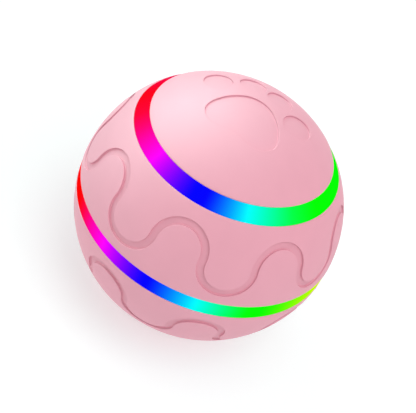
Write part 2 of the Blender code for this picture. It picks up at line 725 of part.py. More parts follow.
def build_drive_axle(ball):
    """The axle keyed into the shell's boss, the screw that holds it and the gear keyed on it."""
    bottom = CHASSIS_BOTTOM + FIT_GAP
    top = AXLE_BORE_TOP - FIT_GAP
    axle = piece(
        "drive_axle", disc(AXLE_RADIUS, bottom, top, segments=MID_SEGMENTS // 2), "steel", ball
    )
    wide = AXLE_RADIUS * 2
    flat_at = Vector((AXLE_RADIUS - AXLE_FLAT_CUT + wide / 2, 0))
    cut(
        axle,
        block(wide, wide * 2, BOSS_BOTTOM, top + OVERRUN, flat_at),
        block(wide, wide * 2, OUTPUT_BOTTOM - FIT_GAP, OUTPUT_TOP + FIT_GAP, flat_at),
        disc(AXLE_SCREW_RADIUS + FIT_GAP, top - AXLE_TAP_DEPTH, top + OVERRUN),
    )
    head_bottom = SCREW_SEAT + FIT_GAP
    shank_bottom = head_bottom - AXLE_SCREW_LENGTH
    screw = [
        (0, head_bottom + AXLE_SCREW_HEAD), (AXLE_SCREW_HEAD_RADIUS, head_bottom + AXLE_SCREW_HEAD),
        (AXLE_SCREW_HEAD_RADIUS, head_bottom), (AXLE_SCREW_RADIUS, head_bottom),
        (AXLE_SCREW_RADIUS, shank_bottom), (0, shank_bottom),
    ]
    piece("axle_screw", turned(screw, closed=False, segments=SMALL_SEGMENTS), "zinc_plate", ball)
    gear = piece(
        "output_gear",
        prism(gear_outline(OUTPUT_TEETH, GEAR_2_AT), OUTPUT_BOTTOM, OUTPUT_TOP),
        "white_nylon",
        ball,
    )
    cut(
        gear,
        flatted_disc(BORE_GAP_RADIUS, AXLE_FLAT_CUT, OUTPUT_BOTTOM - OVERRUN, OUTPUT_TOP + OVERRUN),
    )


def build_chassis(pod):
    """The plate that carries the pod, with the posts of the gearbox plate on it."""
    chassis = piece(
        "chassis_plate",
        disc(CHASSIS_RADIUS, CHASSIS_BOTTOM, 0, segments=SHELL_SEGMENTS),
        "black_plastic",
        pod,
    )
    inside = CHASSIS_BOTTOM / 2
    fuse(chassis, *(disc(POST_RADIUS, inside, POST_TOP, place) for place in POST_CENTRES))
    below, above = CHASSIS_BOTTOM - OVERRUN, OVERRUN
    holes = [
        disc(AXLE_BUSH_RADIUS + FIT_GAP, below, above),
        disc(HOLDER_RADIUS + FIT_GAP, below, above, CELL_CENTRE, MID_SEGMENTS),
        disc(MOTOR_NOSE_RADIUS + FIT_GAP, below, above, MOTOR_CENTRE),
    ]
    for centre in (GEAR_1_CENTRE, GEAR_2_CENTRE):
        holes.append(disc(GEAR_PIN_RADIUS + FIT_GAP, below, above, centre))
    for centre in (*PILLAR_CENTRES, WEIGHT_SCREW_CENTRE):
        holes.append(screw_hole(0, centre))
    pilot = POST_TOP - SCREW_LENGTH
    for centre in POST_CENTRES:
        holes.append(disc(SCREW_RADIUS + FIT_GAP, pilot, POST_TOP + OVERRUN, centre))
    cut(chassis, *holes)

    plate = piece(
        "gearbox_plate",
        disc(GEARBOX_PLATE_RADIUS, PLATE_BOTTOM, PLATE_TOP, segments=SHELL_SEGMENTS),
        "black_plastic",
        pod,
    )
    below, above = PLATE_BOTTOM - OVERRUN, PLATE_TOP + OVERRUN
    holes = [disc(AXLE_BEARING_RADIUS + FIT_GAP, below, above)]
    for centre in (GEAR_1_CENTRE, GEAR_2_CENTRE):
        holes.append(disc(GEAR_PIN_RADIUS + FIT_GAP, below, above, centre))
    holes += [screw_hole(PLATE_TOP, centre) for centre in POST_CENTRES]
    cut(plate, *holes)


def screw_hole(surface, centre):
    """The stepped hole of a pod screw, which sinks its head under the surface."""
    head = SCREW_HEAD_RADIUS + FIT_GAP
    shank = SCREW_RADIUS + FIT_GAP
    seat = surface - SCREW_HEAD - FIT_GAP
    bottom = surface - SCREW_LENGTH
    profile = [
        (0, surface + OVERRUN), (head, surface + OVERRUN), (head, seat), (shank, seat), (shank, bottom),
        (0, bottom),
    ]
    return turned(profile, closed=False, segments=SMALL_SEGMENTS, centre=centre)


def build_pod_screws(pod):
    """The screws of the gearbox plate, the carrier and the counterweight."""
    places = [("gearbox_screw", PLATE_TOP, POST_CENTRES), ("carrier_screw", 0, PILLAR_CENTRES)]
    places.append(("weight_screw", 0, (WEIGHT_SCREW_CENTRE,)))
    for name, surface, centres in places:
        for number, centre in enumerate(centres, 1):
            top, bottom = surface, surface - SCREW_LENGTH + FIT_GAP
            profile = [
                (0, top), (SCREW_HEAD_RADIUS, top), (SCREW_HEAD_RADIUS, top - SCREW_HEAD),
                (SCREW_RADIUS, top - SCREW_HEAD), (SCREW_RADIUS, bottom), (0, bottom),
            ]
            screw = turned(profile, closed=False, segments=SMALL_SEGMENTS, centre=centre)
            piece(f"{name}_{number}", screw, "zinc_plate", pod)


def build_bearings(pod):
    """The flanged bearing in the gearbox plate and the bush in the chassis plate."""
    flange_top = PLATE_TOP + FIT_GAP + AXLE_BEARING_FLANGE
    bearing = [
        (BORE_GAP_RADIUS, PLATE_BOTTOM), (AXLE_BEARING_RADIUS, PLATE_BOTTOM),
        (AXLE_BEARING_RADIUS, PLATE_TOP + FIT_GAP),
        (AXLE_BEARING_RADIUS + AXLE_BEARING_FLANGE, PLATE_TOP + FIT_GAP),
        (AXLE_BEARING_RADIUS + AXLE_BEARING_FLANGE, flange_top), (BORE_GAP_RADIUS, flange_top),
    ]
    piece("axle_bearing", turned(bearing, segments=MID_SEGMENTS), "brass", pod)
    bush = [
        (BORE_GAP_RADIUS, CHASSIS_BOTTOM), (AXLE_BUSH_RADIUS, CHASSIS_BOTTOM), (AXLE_BUSH_RADIUS, 0),
        (BORE_GAP_RADIUS, 0),
    ]
    piece("axle_bush", turned(bush, segments=SMALL_SEGMENTS), "brass", pod)


def build_carrier(pod):
    """The carrier: floor plate, middle column, pillars and the hub tube through the lower shell."""
    profile = [
        (0, UNDER_CHASSIS), (COLUMN_RADIUS, UNDER_CHASSIS), (COLUMN_RADIUS, CARRIER_TOP),
        (CARRIER_PLATE_RADIUS, CARRIER_TOP), (CARRIER_PLATE_RADIUS, CARRIER_BOTTOM),
        (HUB_RADIUS, CARRIER_BOTTOM), (HUB_RADIUS, HUB_FACE), (HUB_BORE, HUB_FACE),
        (HUB_BORE, HUB_CEILING), (0, HUB_CEILING),
    ]
    carrier = piece(
        "pod_carrier", turned(profile, closed=False, segments=MID_SEGMENTS), "black_plastic", pod
    )
    inside = (CARRIER_TOP + CARRIER_BOTTOM) / 2
    fuse(carrier, *(disc(PILLAR_RADIUS, inside, UNDER_CHASSIS, place) for place in PILLAR_CENTRES))
    pilot = -SCREW_LENGTH
    holes = [
        disc(SCREW_RADIUS + FIT_GAP, pilot, UNDER_CHASSIS + OVERRUN, place) for place in PILLAR_CENTRES
    ]
    lead_at = Vector((-(COLUMN_RADIUS + LEAD_HOLE_RADIUS + FIT_GAP), 0))
    holes.append(disc(LEAD_HOLE_RADIUS, HUB_CEILING - OVERRUN, CARRIER_TOP + OVERRUN, lead_at))
    cut(carrier, *holes)


def build_motor(pod):
    """The motor's can, end cap and rotor, and the pinion on its shaft."""
    x, y = MOTOR_CENTRE
    inner = MOTOR_RADIUS - MOTOR_WALL
    shaft_bore = SHAFT_RADIUS + FIT_GAP
    nose_top = MOTOR_TOP + MOTOR_NOSE
    can = [
        (shaft_bore, nose_top), (MOTOR_NOSE_RADIUS, nose_top), (MOTOR_NOSE_RADIUS, MOTOR_TOP),
        (MOTOR_RADIUS, MOTOR_TOP), (MOTOR_RADIUS, MOTOR_BOTTOM + MOTOR_CAP),
        (inner, MOTOR_BOTTOM + MOTOR_CAP), (inner, MOTOR_TOP - MOTOR_WALL),
        (shaft_bore, MOTOR_TOP - MOTOR_WALL),
    ]
    piece("motor_can", turned(can, segments=MID_SEGMENTS, centre=(x, y)), "zinc_plate", pod)
    cap_top = MOTOR_BOTTOM + MOTOR_CAP * 2
    rim_top = MOTOR_BOTTOM + MOTOR_CAP - FIT_GAP
    cap = [
        (0, MOTOR_BOTTOM), (MOTOR_RADIUS, MOTOR_BOTTOM), (MOTOR_RADIUS, rim_top),
        (inner - FIT_GAP, rim_top), (inner - FIT_GAP, cap_top), (shaft_bore, cap_top),
        (shaft_bore, rim_top), (0, rim_top),
    ]
    cap = turned(cap, closed=False, segments=MID_SEGMENTS, centre=(x, y))
    piece("motor_end_cap", cap, "white_nylon", pod)

    spin = empty("motor_axis", (x, y, 0), pod)
    rotor_top = MOTOR_TOP - ROTOR_END_GAP
    rotor_bottom = cap_top + ROTOR_END_GAP / 2
    shaft_top = STAGE_1 + GEAR_FACE
    rotor = [
        (0, shaft_top), (SHAFT_RADIUS, shaft_top), (SHAFT_RADIUS, rotor_top), (ROTOR_RADIUS, rotor_top),
        (ROTOR_RADIUS, rotor_bottom), (SHAFT_RADIUS, rotor_bottom), (SHAFT_RADIUS, rim_top + FIT_GAP),
        (0, rim_top + FIT_GAP),
    ]
    piece(
        "motor_rotor", turned(rotor, closed=False, segments=SMALL_SEGMENTS), "copper_winding", spin
    )
    tooth_at = facing_gap(heading(GEAR_1_CENTRE, MOTOR_CENTRE), PINION_TEETH)
    pinion = prism(gear_outline(PINION_TEETH, tooth_at), STAGE_1, STAGE_1 + GEAR_FACE)
    pinion = piece("motor_pinion", pinion, "brass", spin)
    cut(pinion, disc(shaft_bore, STAGE_1 - OVERRUN, STAGE_1 + GEAR_FACE + OVERRUN))


def build_gear(name, centre, bottom, wheel_at, small_at, pod):
    """A compound gear on its own pin: a wheel with a small gear above it, as high as the next stage."""
    spin = empty(f"{name}_axis", (*centre, 0), pod)
    wheel_top = bottom + GEAR_FACE
    small_top = wheel_top + STAGE_GAP + (OUTPUT_FACE if bottom == STAGE_2 else GEAR_FACE)
    wheel = prism(gear_outline(WHEEL_TEETH, wheel_at), bottom, wheel_top)
    wheel = piece(name, wheel, "white_nylon", spin)
    fuse(wheel, prism(gear_outline(SMALL_TEETH, small_at), (bottom + wheel_top) / 2, small_top))
    cut(wheel, disc(GEAR_PIN_RADIUS + FIT_GAP, bottom - OVERRUN, small_top + OVERRUN))
    piece(f"{name}_pin", disc(GEAR_PIN_RADIUS, CHASSIS_BOTTOM, PLATE_TOP, centre), "steel", pod)


def build_gears(pod):
    """The two compound gears between the motor's pinion and the output gear."""
    to_output = heading(Vector((0, 0)), GEAR_2_CENTRE)
    from_2_to_1 = heading(GEAR_2_CENTRE, GEAR_1_CENTRE)
    from_1_to_motor = heading(GEAR_1_CENTRE, MOTOR_CENTRE)
    build_gear(
        "gear_2", GEAR_2_CENTRE, STAGE_2, from_2_to_1, facing_gap(to_output, SMALL_TEETH), pod
    )
    build_gear(
        "gear_1", GEAR_1_CENTRE, STAGE_1, from_1_to_motor, facing_gap(from_2_to_1, SMALL_TEETH), pod
    )


def build_power(pod):
    """The cell, its holder and the counterweight, all on the pod's heavy side."""
    holder = [
        (0, HOLDER_BOTTOM), (HOLDER_RADIUS, HOLDER_BOTTOM), (HOLDER_RADIUS, 0), (HOLDER_BORE, 0),
        (HOLDER_BORE, HOLDER_BOTTOM + HOLDER_WALL), (0, HOLDER_BOTTOM + HOLDER_WALL),
    ]
    holder = turned(holder, closed=False, segments=MID_SEGMENTS, centre=CELL_CENTRE)
    piece("cell_holder", holder, "black_plastic", pod)
    cell = [
        (0, CELL_TOP), (CELL_NUB_RADIUS, CELL_TOP), (CELL_NUB_RADIUS, CELL_TOP - CELL_NUB),
        (CELL_RADIUS, CELL_TOP - CELL_NUB), (CELL_RADIUS, CELL_BOTTOM), (0, CELL_BOTTOM),
    ]
    cell = turned(cell, closed=False, segments=MID_SEGMENTS, centre=CELL_CENTRE)
    piece("power_cell", cell, "cell_wrap", pod)

    top, bottom = UNDER_CHASSIS, UNDER_CHASSIS - WEIGHT_DEPTH
    outline = [(WEIGHT_INNER, top), (WEIGHT_INNER, bottom)]
    outline += [(math.sqrt(POD_RADIUS**2 - z**2), z) for z in (bottom, (top + bottom) / 2, top)]
    solid = bmesh.new()
    start = Matrix.Rotation(HEAVY_SIDE_AT - WEIGHT_HALF_SWEEP, 4, "Z")
    corners = [solid.verts.new(start @ Vector((r, 0, z))) for r, z in outline]
    end_face = solid.faces.new(corners)
    bmesh.ops.spin(
        solid,
        geom=[end_face],
        axis=(0, 0, 1),
        cent=(0, 0, 0),
        angle=2 * WEIGHT_HALF_SWEEP,
        steps=SMALL_SEGMENTS,
    )
    weight = piece("counterweight", solid, "steel", pod)
    pilot = disc(SCREW_RADIUS + FIT_GAP, -SCREW_LENGTH, top + OVERRUN, WEIGHT_SCREW_CENTRE)
    cut(weight, pilot)


def build_electronics(pod):
    """The upright circuit board with its chip and motion sensor, and the LEDs of the three rings."""
    bottom, top = CARRIER_TOP + FIT_GAP, UNDER_CHASSIS
    middle = (bottom + top) / 2
    place = Vector((BOARD_BACK, 0))
    piece("circuit_board", block(BOARD_THICKNESS, BOARD_WIDTH, bottom, top, place), "green_board", pod)
    face = BOARD_BACK - BOARD_THICKNESS / 2 - FIT_GAP
    chip_at = Vector((face - CHIP_HEIGHT / 2, 0))
    chip = block(CHIP_HEIGHT, CHIP_SIDE, middle - CHIP_SIDE / 2, middle + CHIP_SIDE / 2, chip_at)
    piece("controller_chip", chip, "black_plastic", pod)
    sensor_at = Vector((face - SENSOR_RADIUS, SENSOR_SIDE))
    sensor = disc(SENSOR_RADIUS, middle - SENSOR_LENGTH / 2, middle + SENSOR_LENGTH / 2, sensor_at)
    piece("motion_sensor", sensor, "zinc_plate", pod)

    rim = CHASSIS_RADIUS - FIT_GAP
    board_top = FIT_GAP + LED_BOARD_THICKNESS
    board = [
        (rim - LED_BOARD_WIDTH, FIT_GAP), (rim, FIT_GAP),
        (rim, board_top), (rim - LED_BOARD_WIDTH, board_top),
    ]
    piece("led_board", turned(board, segments=SHELL_SEGMENTS), "white_board", pod)
    rings = (
        ("middle", board_top + FIT_GAP, rim - LED_BOARD_WIDTH / 2, HEAVY_SIDE_AT),
        ("upper", PLATE_TOP + FIT_GAP, GEARBOX_PLATE_RADIUS - LED_RIM_INSET, GEAR_1_AT),
        ("lower", CARRIER_TOP + FIT_GAP, CARRIER_PLATE_RADIUS - LED_RIM_INSET, math.pi),
    )
    for ring, seat, distance, first_at in rings:
        for number in range(LEDS_PER_RING):
            turn = first_at + math.tau * number / LEDS_PER_RING
            lamp = block(LED_DEPTH, LED_WIDTH, seat, seat + LED_HEIGHT)
            bmesh.ops.translate(lamp, verts=lamp.verts[:], vec=(distance, 0, 0))
            bmesh.ops.rotate(
                lamp, verts=lamp.verts[:], cent=(0, 0, 0), matrix=Matrix.Rotation(turn, 3, "Z")
            )
            piece(f"{ring}_led_{number + 1}", lamp, "led_package", pod)


def build_hub(pod):
    """What the open end of the hub tube holds: charging board, socket, switch, face, button, plug."""
    board_top = HUB_CEILING - FIT_GAP
    board_bottom = board_top - CHARGE_BOARD_THICKNESS
    board = disc(HUB_BORE - FIT_GAP, board_bottom, board_top, segments=MID_SEGMENTS)
    piece("charge_board", board, "green_board", pod)

    seat = board_bottom - FIT_GAP
    mouth = HUB_FACE + SOCKET_MOUTH_SINK
    socket = slot(SOCKET_LENGTH, SOCKET_WIDTH, mouth, seat, SOCKET_CENTRE)
    socket = piece("charging_socket", socket, "zinc_plate", pod)
    bore_length, bore_width = SOCKET_LENGTH - 2 * SOCKET_WALL, SOCKET_WIDTH - 2 * SOCKET_WALL
    socket_floor = seat - SOCKET_FLOOR
    cut(socket, slot(bore_length, bore_width, mouth - OVERRUN, socket_floor, SOCKET_CENTRE))
    tongue_top = (seat + socket_floor) / 2
    fuse(socket, block(TONGUE_WIDTH, TONGUE_LENGTH, mouth + TONGUE_SINK, tongue_top, SOCKET_CENTRE))

    switch = block(SWITCH_SIDE, SWITCH_SIDE, SWITCH_BOTTOM, seat, BUTTON_CENTRE)
    switch = piece("tact_switch", switch, "black_plastic", pod)
    stem_end = SWITCH_BOTTOM - SWITCH_STEM
    fuse(switch, disc(SWITCH_STEM_RADIUS, stem_end, SWITCH_BOTTOM + SWITCH_HEIGHT / 2, BUTTON_CENTRE))

    face = disc(HUB_BORE - FIT_GAP, HUB_FACE, HUB_INSIDE, segments=MID_SEGMENTS)
    face = piece("hub_face", face, "grey_plastic", pod)
    below, above = HUB_FACE - OVERRUN, HUB_INSIDE + OVERRUN
    recess_top = HUB_FACE + PLUG_SINK + PLUG_THICKNESS + FIT_GAP
    cut(
        face,
        disc(BUTTON_RADIUS + FIT_GAP, below, above, BUTTON_CENTRE, MID_SEGMENTS // 2),
        slot(PLUG_LENGTH + 2 * FIT_GAP, PLUG_WIDTH + 2 * FIT_GAP, below, recess_top, SOCKET_CENTRE),
    )
    cut(
        face,
        slot(SOCKET_LENGTH + 2 * FIT_GAP, SOCKET_WIDTH + 2 * FIT_GAP, below, above, SOCKET_CENTRE),
    )
    hinge_at = SOCKET_FORWARD + PLUG_WIDTH / 2 + PLUG_TAB_LENGTH
    tab_end = hinge_at + PLUG_THICKNESS / 2
    tab_recess = tab_end + 2 * FIT_GAP - SOCKET_FORWARD
    tab_middle = Vector((SOCKET_FORWARD + tab_recess / 2, 0))
    cut(face, block(tab_recess, PLUG_TAB_WIDTH + 2 * FIT_GAP, below, recess_top, tab_middle))

    press = empty("power_button_axis", (*BUTTON_CENTRE, HUB_FACE), pod)
    flange_bottom = HUB_FACE_THICKNESS + FIT_GAP
    flange_top = flange_bottom + BUTTON_FLANGE
    stem_top = stem_end - HUB_FACE - BUTTON_TRAVEL - FIT_GAP
    flange_radius = BUTTON_RADIUS + BUTTON_FLANGE_LIP
    button = [
        (0, -BUTTON_PROUD), (BUTTON_RADIUS, -BUTTON_PROUD), (BUTTON_RADIUS, flange_bottom),
        (flange_radius, flange_bottom), (flange_radius, flange_top), (BUTTON_STEM_RADIUS, flange_top),
        (BUTTON_STEM_RADIUS, stem_top), (0, stem_top),
    ]
    piece(
        "power_button", turned(button, closed=False, segments=SMALL_SEGMENTS), "pink_silicone", press
    )

    plug_bottom = HUB_FACE + PLUG_SINK
    hinge = empty("port_plug_hinge", (hinge_at, 0, plug_bottom + PLUG_THICKNESS / 2), pod)
    back = Vector((SOCKET_FORWARD - hinge_at, 0))
    half = PLUG_THICKNESS / 2
    flap = slot(PLUG_LENGTH, PLUG_WIDTH, -half, half, back)
    plug = piece("port_plug", flap, "pink_silicone", hinge)
    tab_length = tab_end - SOCKET_FORWARD
    fuse(plug, block(tab_length, PLUG_TAB_WIDTH, -half, half, Vector((half - tab_length / 2, 0))))
    fuse(plug, slot(PRONG_LENGTH, PRONG_WIDTH, 0, half + PRONG_HEIGHT, back))


def smooth_route(points):
    """Points a step apart on a smooth curve through the route's own points."""
    padded = [points[0], *points, points[-1]]
    route = []
    for before, start, end, after in zip(padded, padded[1:], padded[2:], padded[3:]):
        count = max(2, round((end - start).length / LEAD_STEP))
        for i in range(count):
            t = i / count
            route.append(
                (
                    2 * start
                    + (end - before) * t
                    + (2 * before - 5 * start + 4 * end - after) * t**2
                    + (3 * start - before - 3 * end + after) * t**3
                )
                / 2
            )
    return [*route, points[-1]]


def lead(name, points, kind, pod):
    """A lead along its whole route, with capped ends."""
    curve = bpy.data.curves.new(name, "CURVE")
    curve.dimensions = "3D"
    curve.bevel_depth = LEAD_RADIUS
    curve.bevel_resolution = LEAD_SIDES_RESOLUTION
    curve.resolution_u = 1
    curve.render_resolution_u = 0
    curve.use_fill_caps = True
    route = smooth_route([Vector(point) for point in points])
    line = curve.splines.new("POLY")
    line.points.add(len(route) - 1)
    for point, place in zip(line.points, route):
        point.co = (*place, 1)
    curve.materials.append(finish(name, kind))
    made = bpy.data.objects.new(name, curve)
    made.parent = pod
    bpy.context.collection.objects.link(made)


def build_leads(pod):
    """The leads from the circuit board to the motor and to the cell, between column and pillars."""
    board_face = BOARD_BACK + BOARD_THICKNESS / 2 + FIT_GAP
    for name, centre, terminal, side in (
        ("motor_lead", MOTOR_CENTRE, MOTOR_BOTTOM - FIT_GAP, 1),
        ("cell_lead", CELL_CENTRE, HOLDER_BOTTOM - FIT_GAP, -1),
    ):
        for colour, shift in (("red", LEAD_SPREAD / 2), ("black", -LEAD_SPREAD / 2)):
            low = terminal - LEAD_DROP
            board_y = side * LEAD_BOARD_SIDE + shift
            route = [
                (centre.x, centre.y + shift, terminal),
                (centre.x, centre.y + shift, terminal - LEAD_DROP / 2),
                (centre.x - COLUMN_RADIUS, centre.y + shift, low),
                (0, (centre.y + shift + board_y) / 2, low),
                (PILLAR_BACK, board_y, low),
                (board_face + LEAD_DROP, board_y, low),
                (board_face, board_y, low),
            ]
            lead(f"{name}_{colour}", route, f"{colour}_lead", pod)


def build():
    """The whole ball."""
    for old in list(bpy.data.objects):
        bpy.data.objects.remove(old)
    ball = empty("ball_centre", (0, 0, BASE_DROP))
    pod = empty("pod_axis", (0, 0, 0), ball)
    build_covers(ball)
    build_light_rings(ball)
    build_shells(ball)
    build_drive_axle(ball)
    build_chassis(pod)
    build_pod_screws(pod)
    build_bearings(pod)
    build_carrier(pod)
    build_motor(pod)
    build_gears(pod)
    build_power(pod)
    build_electronics(pod)
    build_hub(pod)
    build_leads(pod)


build()
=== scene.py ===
"""Motion-activated dog ball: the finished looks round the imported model.

Fine silicone covers, light rings and hub pieces take the place of their CAD nodes. All other nodes
keep their shape and get procedural materials.
"""

import json
import math

import bmesh
import bpy
import numpy as np
from mathutils import Matrix, Vector
from mathutils.geometry import delaunay_2d_cdt
from mathutils.kdtree import KDTree


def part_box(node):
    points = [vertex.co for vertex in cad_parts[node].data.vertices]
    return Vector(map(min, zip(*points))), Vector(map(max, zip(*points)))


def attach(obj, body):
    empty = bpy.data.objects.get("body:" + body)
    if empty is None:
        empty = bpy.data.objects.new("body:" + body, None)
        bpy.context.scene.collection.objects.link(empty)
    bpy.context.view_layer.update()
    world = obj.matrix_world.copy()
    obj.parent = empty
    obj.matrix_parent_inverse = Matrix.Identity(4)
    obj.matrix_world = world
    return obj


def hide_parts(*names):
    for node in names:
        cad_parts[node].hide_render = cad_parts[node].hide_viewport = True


MM = 0.001

# Photograph: its size, and the ball's outline in it, in pixels
IMAGE_WIDTH = 416
IMAGE_HEIGHT = 413
OUTLINE_CENTRE_X = 208.90
OUTLINE_CENTRE_Y = 205.65

# Camera, from the ball's outline and the slant of its rings
CAMERA_RADII_AWAY = 7.11
CAMERA_ELEVATION = math.radians(40.9)
CAMERA_ROLL = math.radians(26.27)
LENS = 82.26
SENSOR_WIDTH = 36
CLIP_START = 10 * MM

# Silicone skin
RING_SINK = 0.15 * MM
SKIN_THICKNESS = 2.6 * MM
RING_LATITUDE = math.radians(43)
RING_SEAM = 0.05 * MM
RIM_ROUNDING = 0.18 * MM
RING_ROUNDING = 0.1 * MM

# Wavy groove
WAVE_COUNT = 8
WAVE_CREST_LONGITUDE = math.radians(-3.7)
WAVE_LOW_LATITUDE = math.radians(9.3)
WAVE_HIGH_LATITUDE = math.radians(31.7)
WAVE_FLANK = math.radians(1.5)
GROOVE_WIDTH = 2.15 * MM
GROOVE_DEPTH = 0.7 * MM

# Paw print, laid out on the surface from the pole
PAW_TURN = math.radians(-10)
PAW_DEPTH = 0.48 * MM
PAD_HALF_WIDTH = 11.1 * MM
PAD_HEIGHT = 16.7 * MM
PAD_TOP = 2.8 * MM
PAD_SHIFT = -0.25 * MM
PAD_OUTLINE_SHARES = (
    (0.32, 0.95), (0.61, 0.80), (0.84, 0.61), (0.99, 0.40), (0.98, 0.22), (0.78, 0.06), (0.44, 0.00),
)
PAD_NOTCH_SHARE = 0.04
# Toes: length, width, place to the side and up, tilt
OUTER_TOE = (11.2 * MM, 8.4 * MM, 13.2 * MM, 4.4 * MM, math.radians(25))
INNER_TOE = (9.8 * MM, 8 * MM, 4.5 * MM, 10.3 * MM, math.radians(8))
TOE_SHIFT = -1.15 * MM

# Walls of the groove and the pockets
WALL_SLOPE = math.radians(86)
FLOOR_FILLET = 0.08 * MM
LIP_ROUNDING = 0.09 * MM

# Underside
BASE_FLAT_RADIUS = 12 * MM
SKIN_HOLE_RADIUS = 9.9 * MM
BASE_ROUNDING = 1.2 * MM
HOLE_ROUNDING = 0.35 * MM

# Hub in the underside: its depths run from its face into the ball
FIT_GAP = 0.3 * MM
HUB_RADIUS = 9 * MM
HUB_WALL = 1 * MM
SLEEVE_WALL = 0.06 * MM
SLEEVE_HEIGHT = 1.3 * MM
FACE_ROUNDING = 0.25 * MM
RECESS_ROUNDING = 0.12 * MM
BUTTON_RADIUS = 2.6 * MM
BUTTON_DISH = 0.12 * MM
BUTTON_MARK_RADIUS = 1.2 * MM
BUTTON_MARK_WIDTH = 0.34 * MM
BUTTON_MARK_DEPTH = 0.14 * MM
BUTTON_MARK_WALL = BUTTON_MARK_DEPTH / 4
DISH_AT_MARK = 0.9
DISH_AT_RIM = 0.35
DISH_RIM_PLACE = 0.6
BUTTON_FLANGE_AT = 1.9 * MM
BUTTON_FLANGE = 0.8 * MM
BUTTON_STEM_RADIUS = 1.2 * MM
PLUG_WIDTH = 5.4 * MM
PLUG_THICKNESS = 0.7 * MM
PLUG_TAB_WIDTH = 3 * MM
PLUG_ROUNDING = 0.2 * MM
TAB_ROUNDING = 0.4 * MM
PRONG_LENGTH = 7.4 * MM
PRONG_WIDTH = 1.8 * MM
NOTCH_INSET = 0.9 * MM
NOTCH_RADIUS = 1.5 * MM
NOTCH_DEPTH = 0.3 * MM
NOTCH_STRETCH = 1.6
SOCKET_WALL = 0.3 * MM
SOCKET_FLOOR = 1 * MM
SOCKET_ROUNDING = SOCKET_WALL / 3
TONGUE_LENGTH = 6.7 * MM
TONGUE_WIDTH = 0.7 * MM
TONGUE_SINK = 1.1 * MM
TONGUE_ROUNDING = TONGUE_WIDTH / 4
CONTACTS_PER_SIDE = 6
CONTACT_STEP = 0.9 * MM
CONTACT_WIDTH = 0.4 * MM
CONTACT_THICKNESS = 0.08 * MM
CONTACT_ROUNDING = CONTACT_THICKNESS / 4
CONTACT_LENGTH = 2.4 * MM

# Surfaces
PINK = (0.79, 0.343, 0.428)
SILICONE_ROUGHNESS = 0.7
SILICONE_SPECULAR = 1.0
WHITE = (1, 1, 1)
DIFFUSER_COLOUR = (0.002, 0.002, 0.002)
DIFFUSER_ROUGHNESS = 0.45
DISPLAY_GAMMA = 2.2
LED_GLOW = 0.6

# Painted shade in the ball's relief: its colour, and how much of it lies at each depth
RELIEF_SHADE_COLOUR = (0.42, 0.17, 0.23)
RELIEF_SHADE_AMOUNTS = (
    (0, 0), (0.18 * MM, 0), (0.2 * MM, 0.5), (0.38 * MM, 0.5), (0.44 * MM, 0),
    (0.56 * MM, 0.08), (0.7 * MM, 0.08),
)

# Distance between the bands of a wave texture at a scale of 1
WAVE_TEXTURE_STEP = math.tau / 20

# Sockets of a colour mixing node, which share their names
MIX_SHARE = 0
MIX_ONE = 6
MIX_OTHER = 7
MIX_RESULT = 2

# Lamps: name, azimuth and elevation in degrees, power in watts, what it lights
LAMP_DISTANCE = 2.0
LAMP_SIZE = 1.6
SOFTBOXES = (
    ("back_softbox", 230, 45, 106, "gloss"),
    ("left_softbox", 270, 20, 44, "gloss"),
    ("back_fill", 235, 40, 3, "diffuse"),
    ("left_fill", 270, 12, 6, "diffuse"),
    ("shadow_fill", 45, 60, 17, "diffuse"),
    ("top_fill", 0, 88, 4, "diffuse"),
)
WORLD_LIGHT = 0.5

# Floor: its own light as the camera sees it, near and far, and as the ball gets it
FLOOR_COLOUR = (0.58, 0.645, 0.635)
FLOOR_ROUGHNESS = 0.9
FLOOR_SIZE = 6.0
FLOOR_NEAR = 0.12
FLOOR_FAR = 0.9
FLOOR_LIFT_NEAR = 0.46
FLOOR_LIFT_FAR = 0.8
FLOOR_GLOW = 0.42

# Spacing of the fine meshes
LINE_STEP = 0.45 * MM
FILL_STEP = 1.0 * MM
SMALL_STEP = 0.12 * MM
SMALL_FILL_STEP = 0.28 * MM
MERGE = 0.0005 * MM
EDGE_STEPS = 20
GROOVE_STEPS = 8 * EDGE_STEPS
ARC_STEPS = 4
CURVE_STEPS = 16
TOE_POINTS = 24
INNER_ROWS = 5
RING_ROWS = 8
CAP_ROWS = 12
LATHE_SEGMENTS = 96
ROUND_END = 0.98

# Rows beside the walls of the relief, as shares of LINE_STEP
GROOVE_OUTSIDE = (0.5, 1.3)
POCKET_INSIDE = (0.9, 0.4)
POCKET_OUTSIDE = (0.25, 0.6)

# Filling between loops: room kept along them and points taken as one, as shares of the step
EDGE_ROOM = 0.6
SAME_POINT = 1e-4

# The triangulation that keeps only what is inside the loops
INSIDE_ONLY = 1

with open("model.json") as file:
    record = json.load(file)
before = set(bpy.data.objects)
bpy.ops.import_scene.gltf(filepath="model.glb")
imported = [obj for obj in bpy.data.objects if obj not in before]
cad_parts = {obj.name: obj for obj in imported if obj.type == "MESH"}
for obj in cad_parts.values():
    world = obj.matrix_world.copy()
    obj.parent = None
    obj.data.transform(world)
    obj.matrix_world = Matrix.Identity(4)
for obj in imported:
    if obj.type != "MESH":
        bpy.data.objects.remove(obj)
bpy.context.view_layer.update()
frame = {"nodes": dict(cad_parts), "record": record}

ring_low, ring_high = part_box("middle_light_ring")
CENTRE = Vector((0, 0, (ring_low.z + ring_high.z) / 2))
RING_RADIUS = ring_high.x
RING_HALF = (ring_high.z - ring_low.z) / 2
BALL_RADIUS = RING_RADIUS + RING_SINK
SKIN_INNER = BALL_RADIUS - SKIN_THICKNESS
EDGE_ANGLE = (RING_HALF + RING_SEAM) / BALL_RADIUS
ROUNDING_ANGLE = RIM_ROUNDING / BALL_RADIUS
SEGMENTS = 2 * WAVE_COUNT * EDGE_STEPS

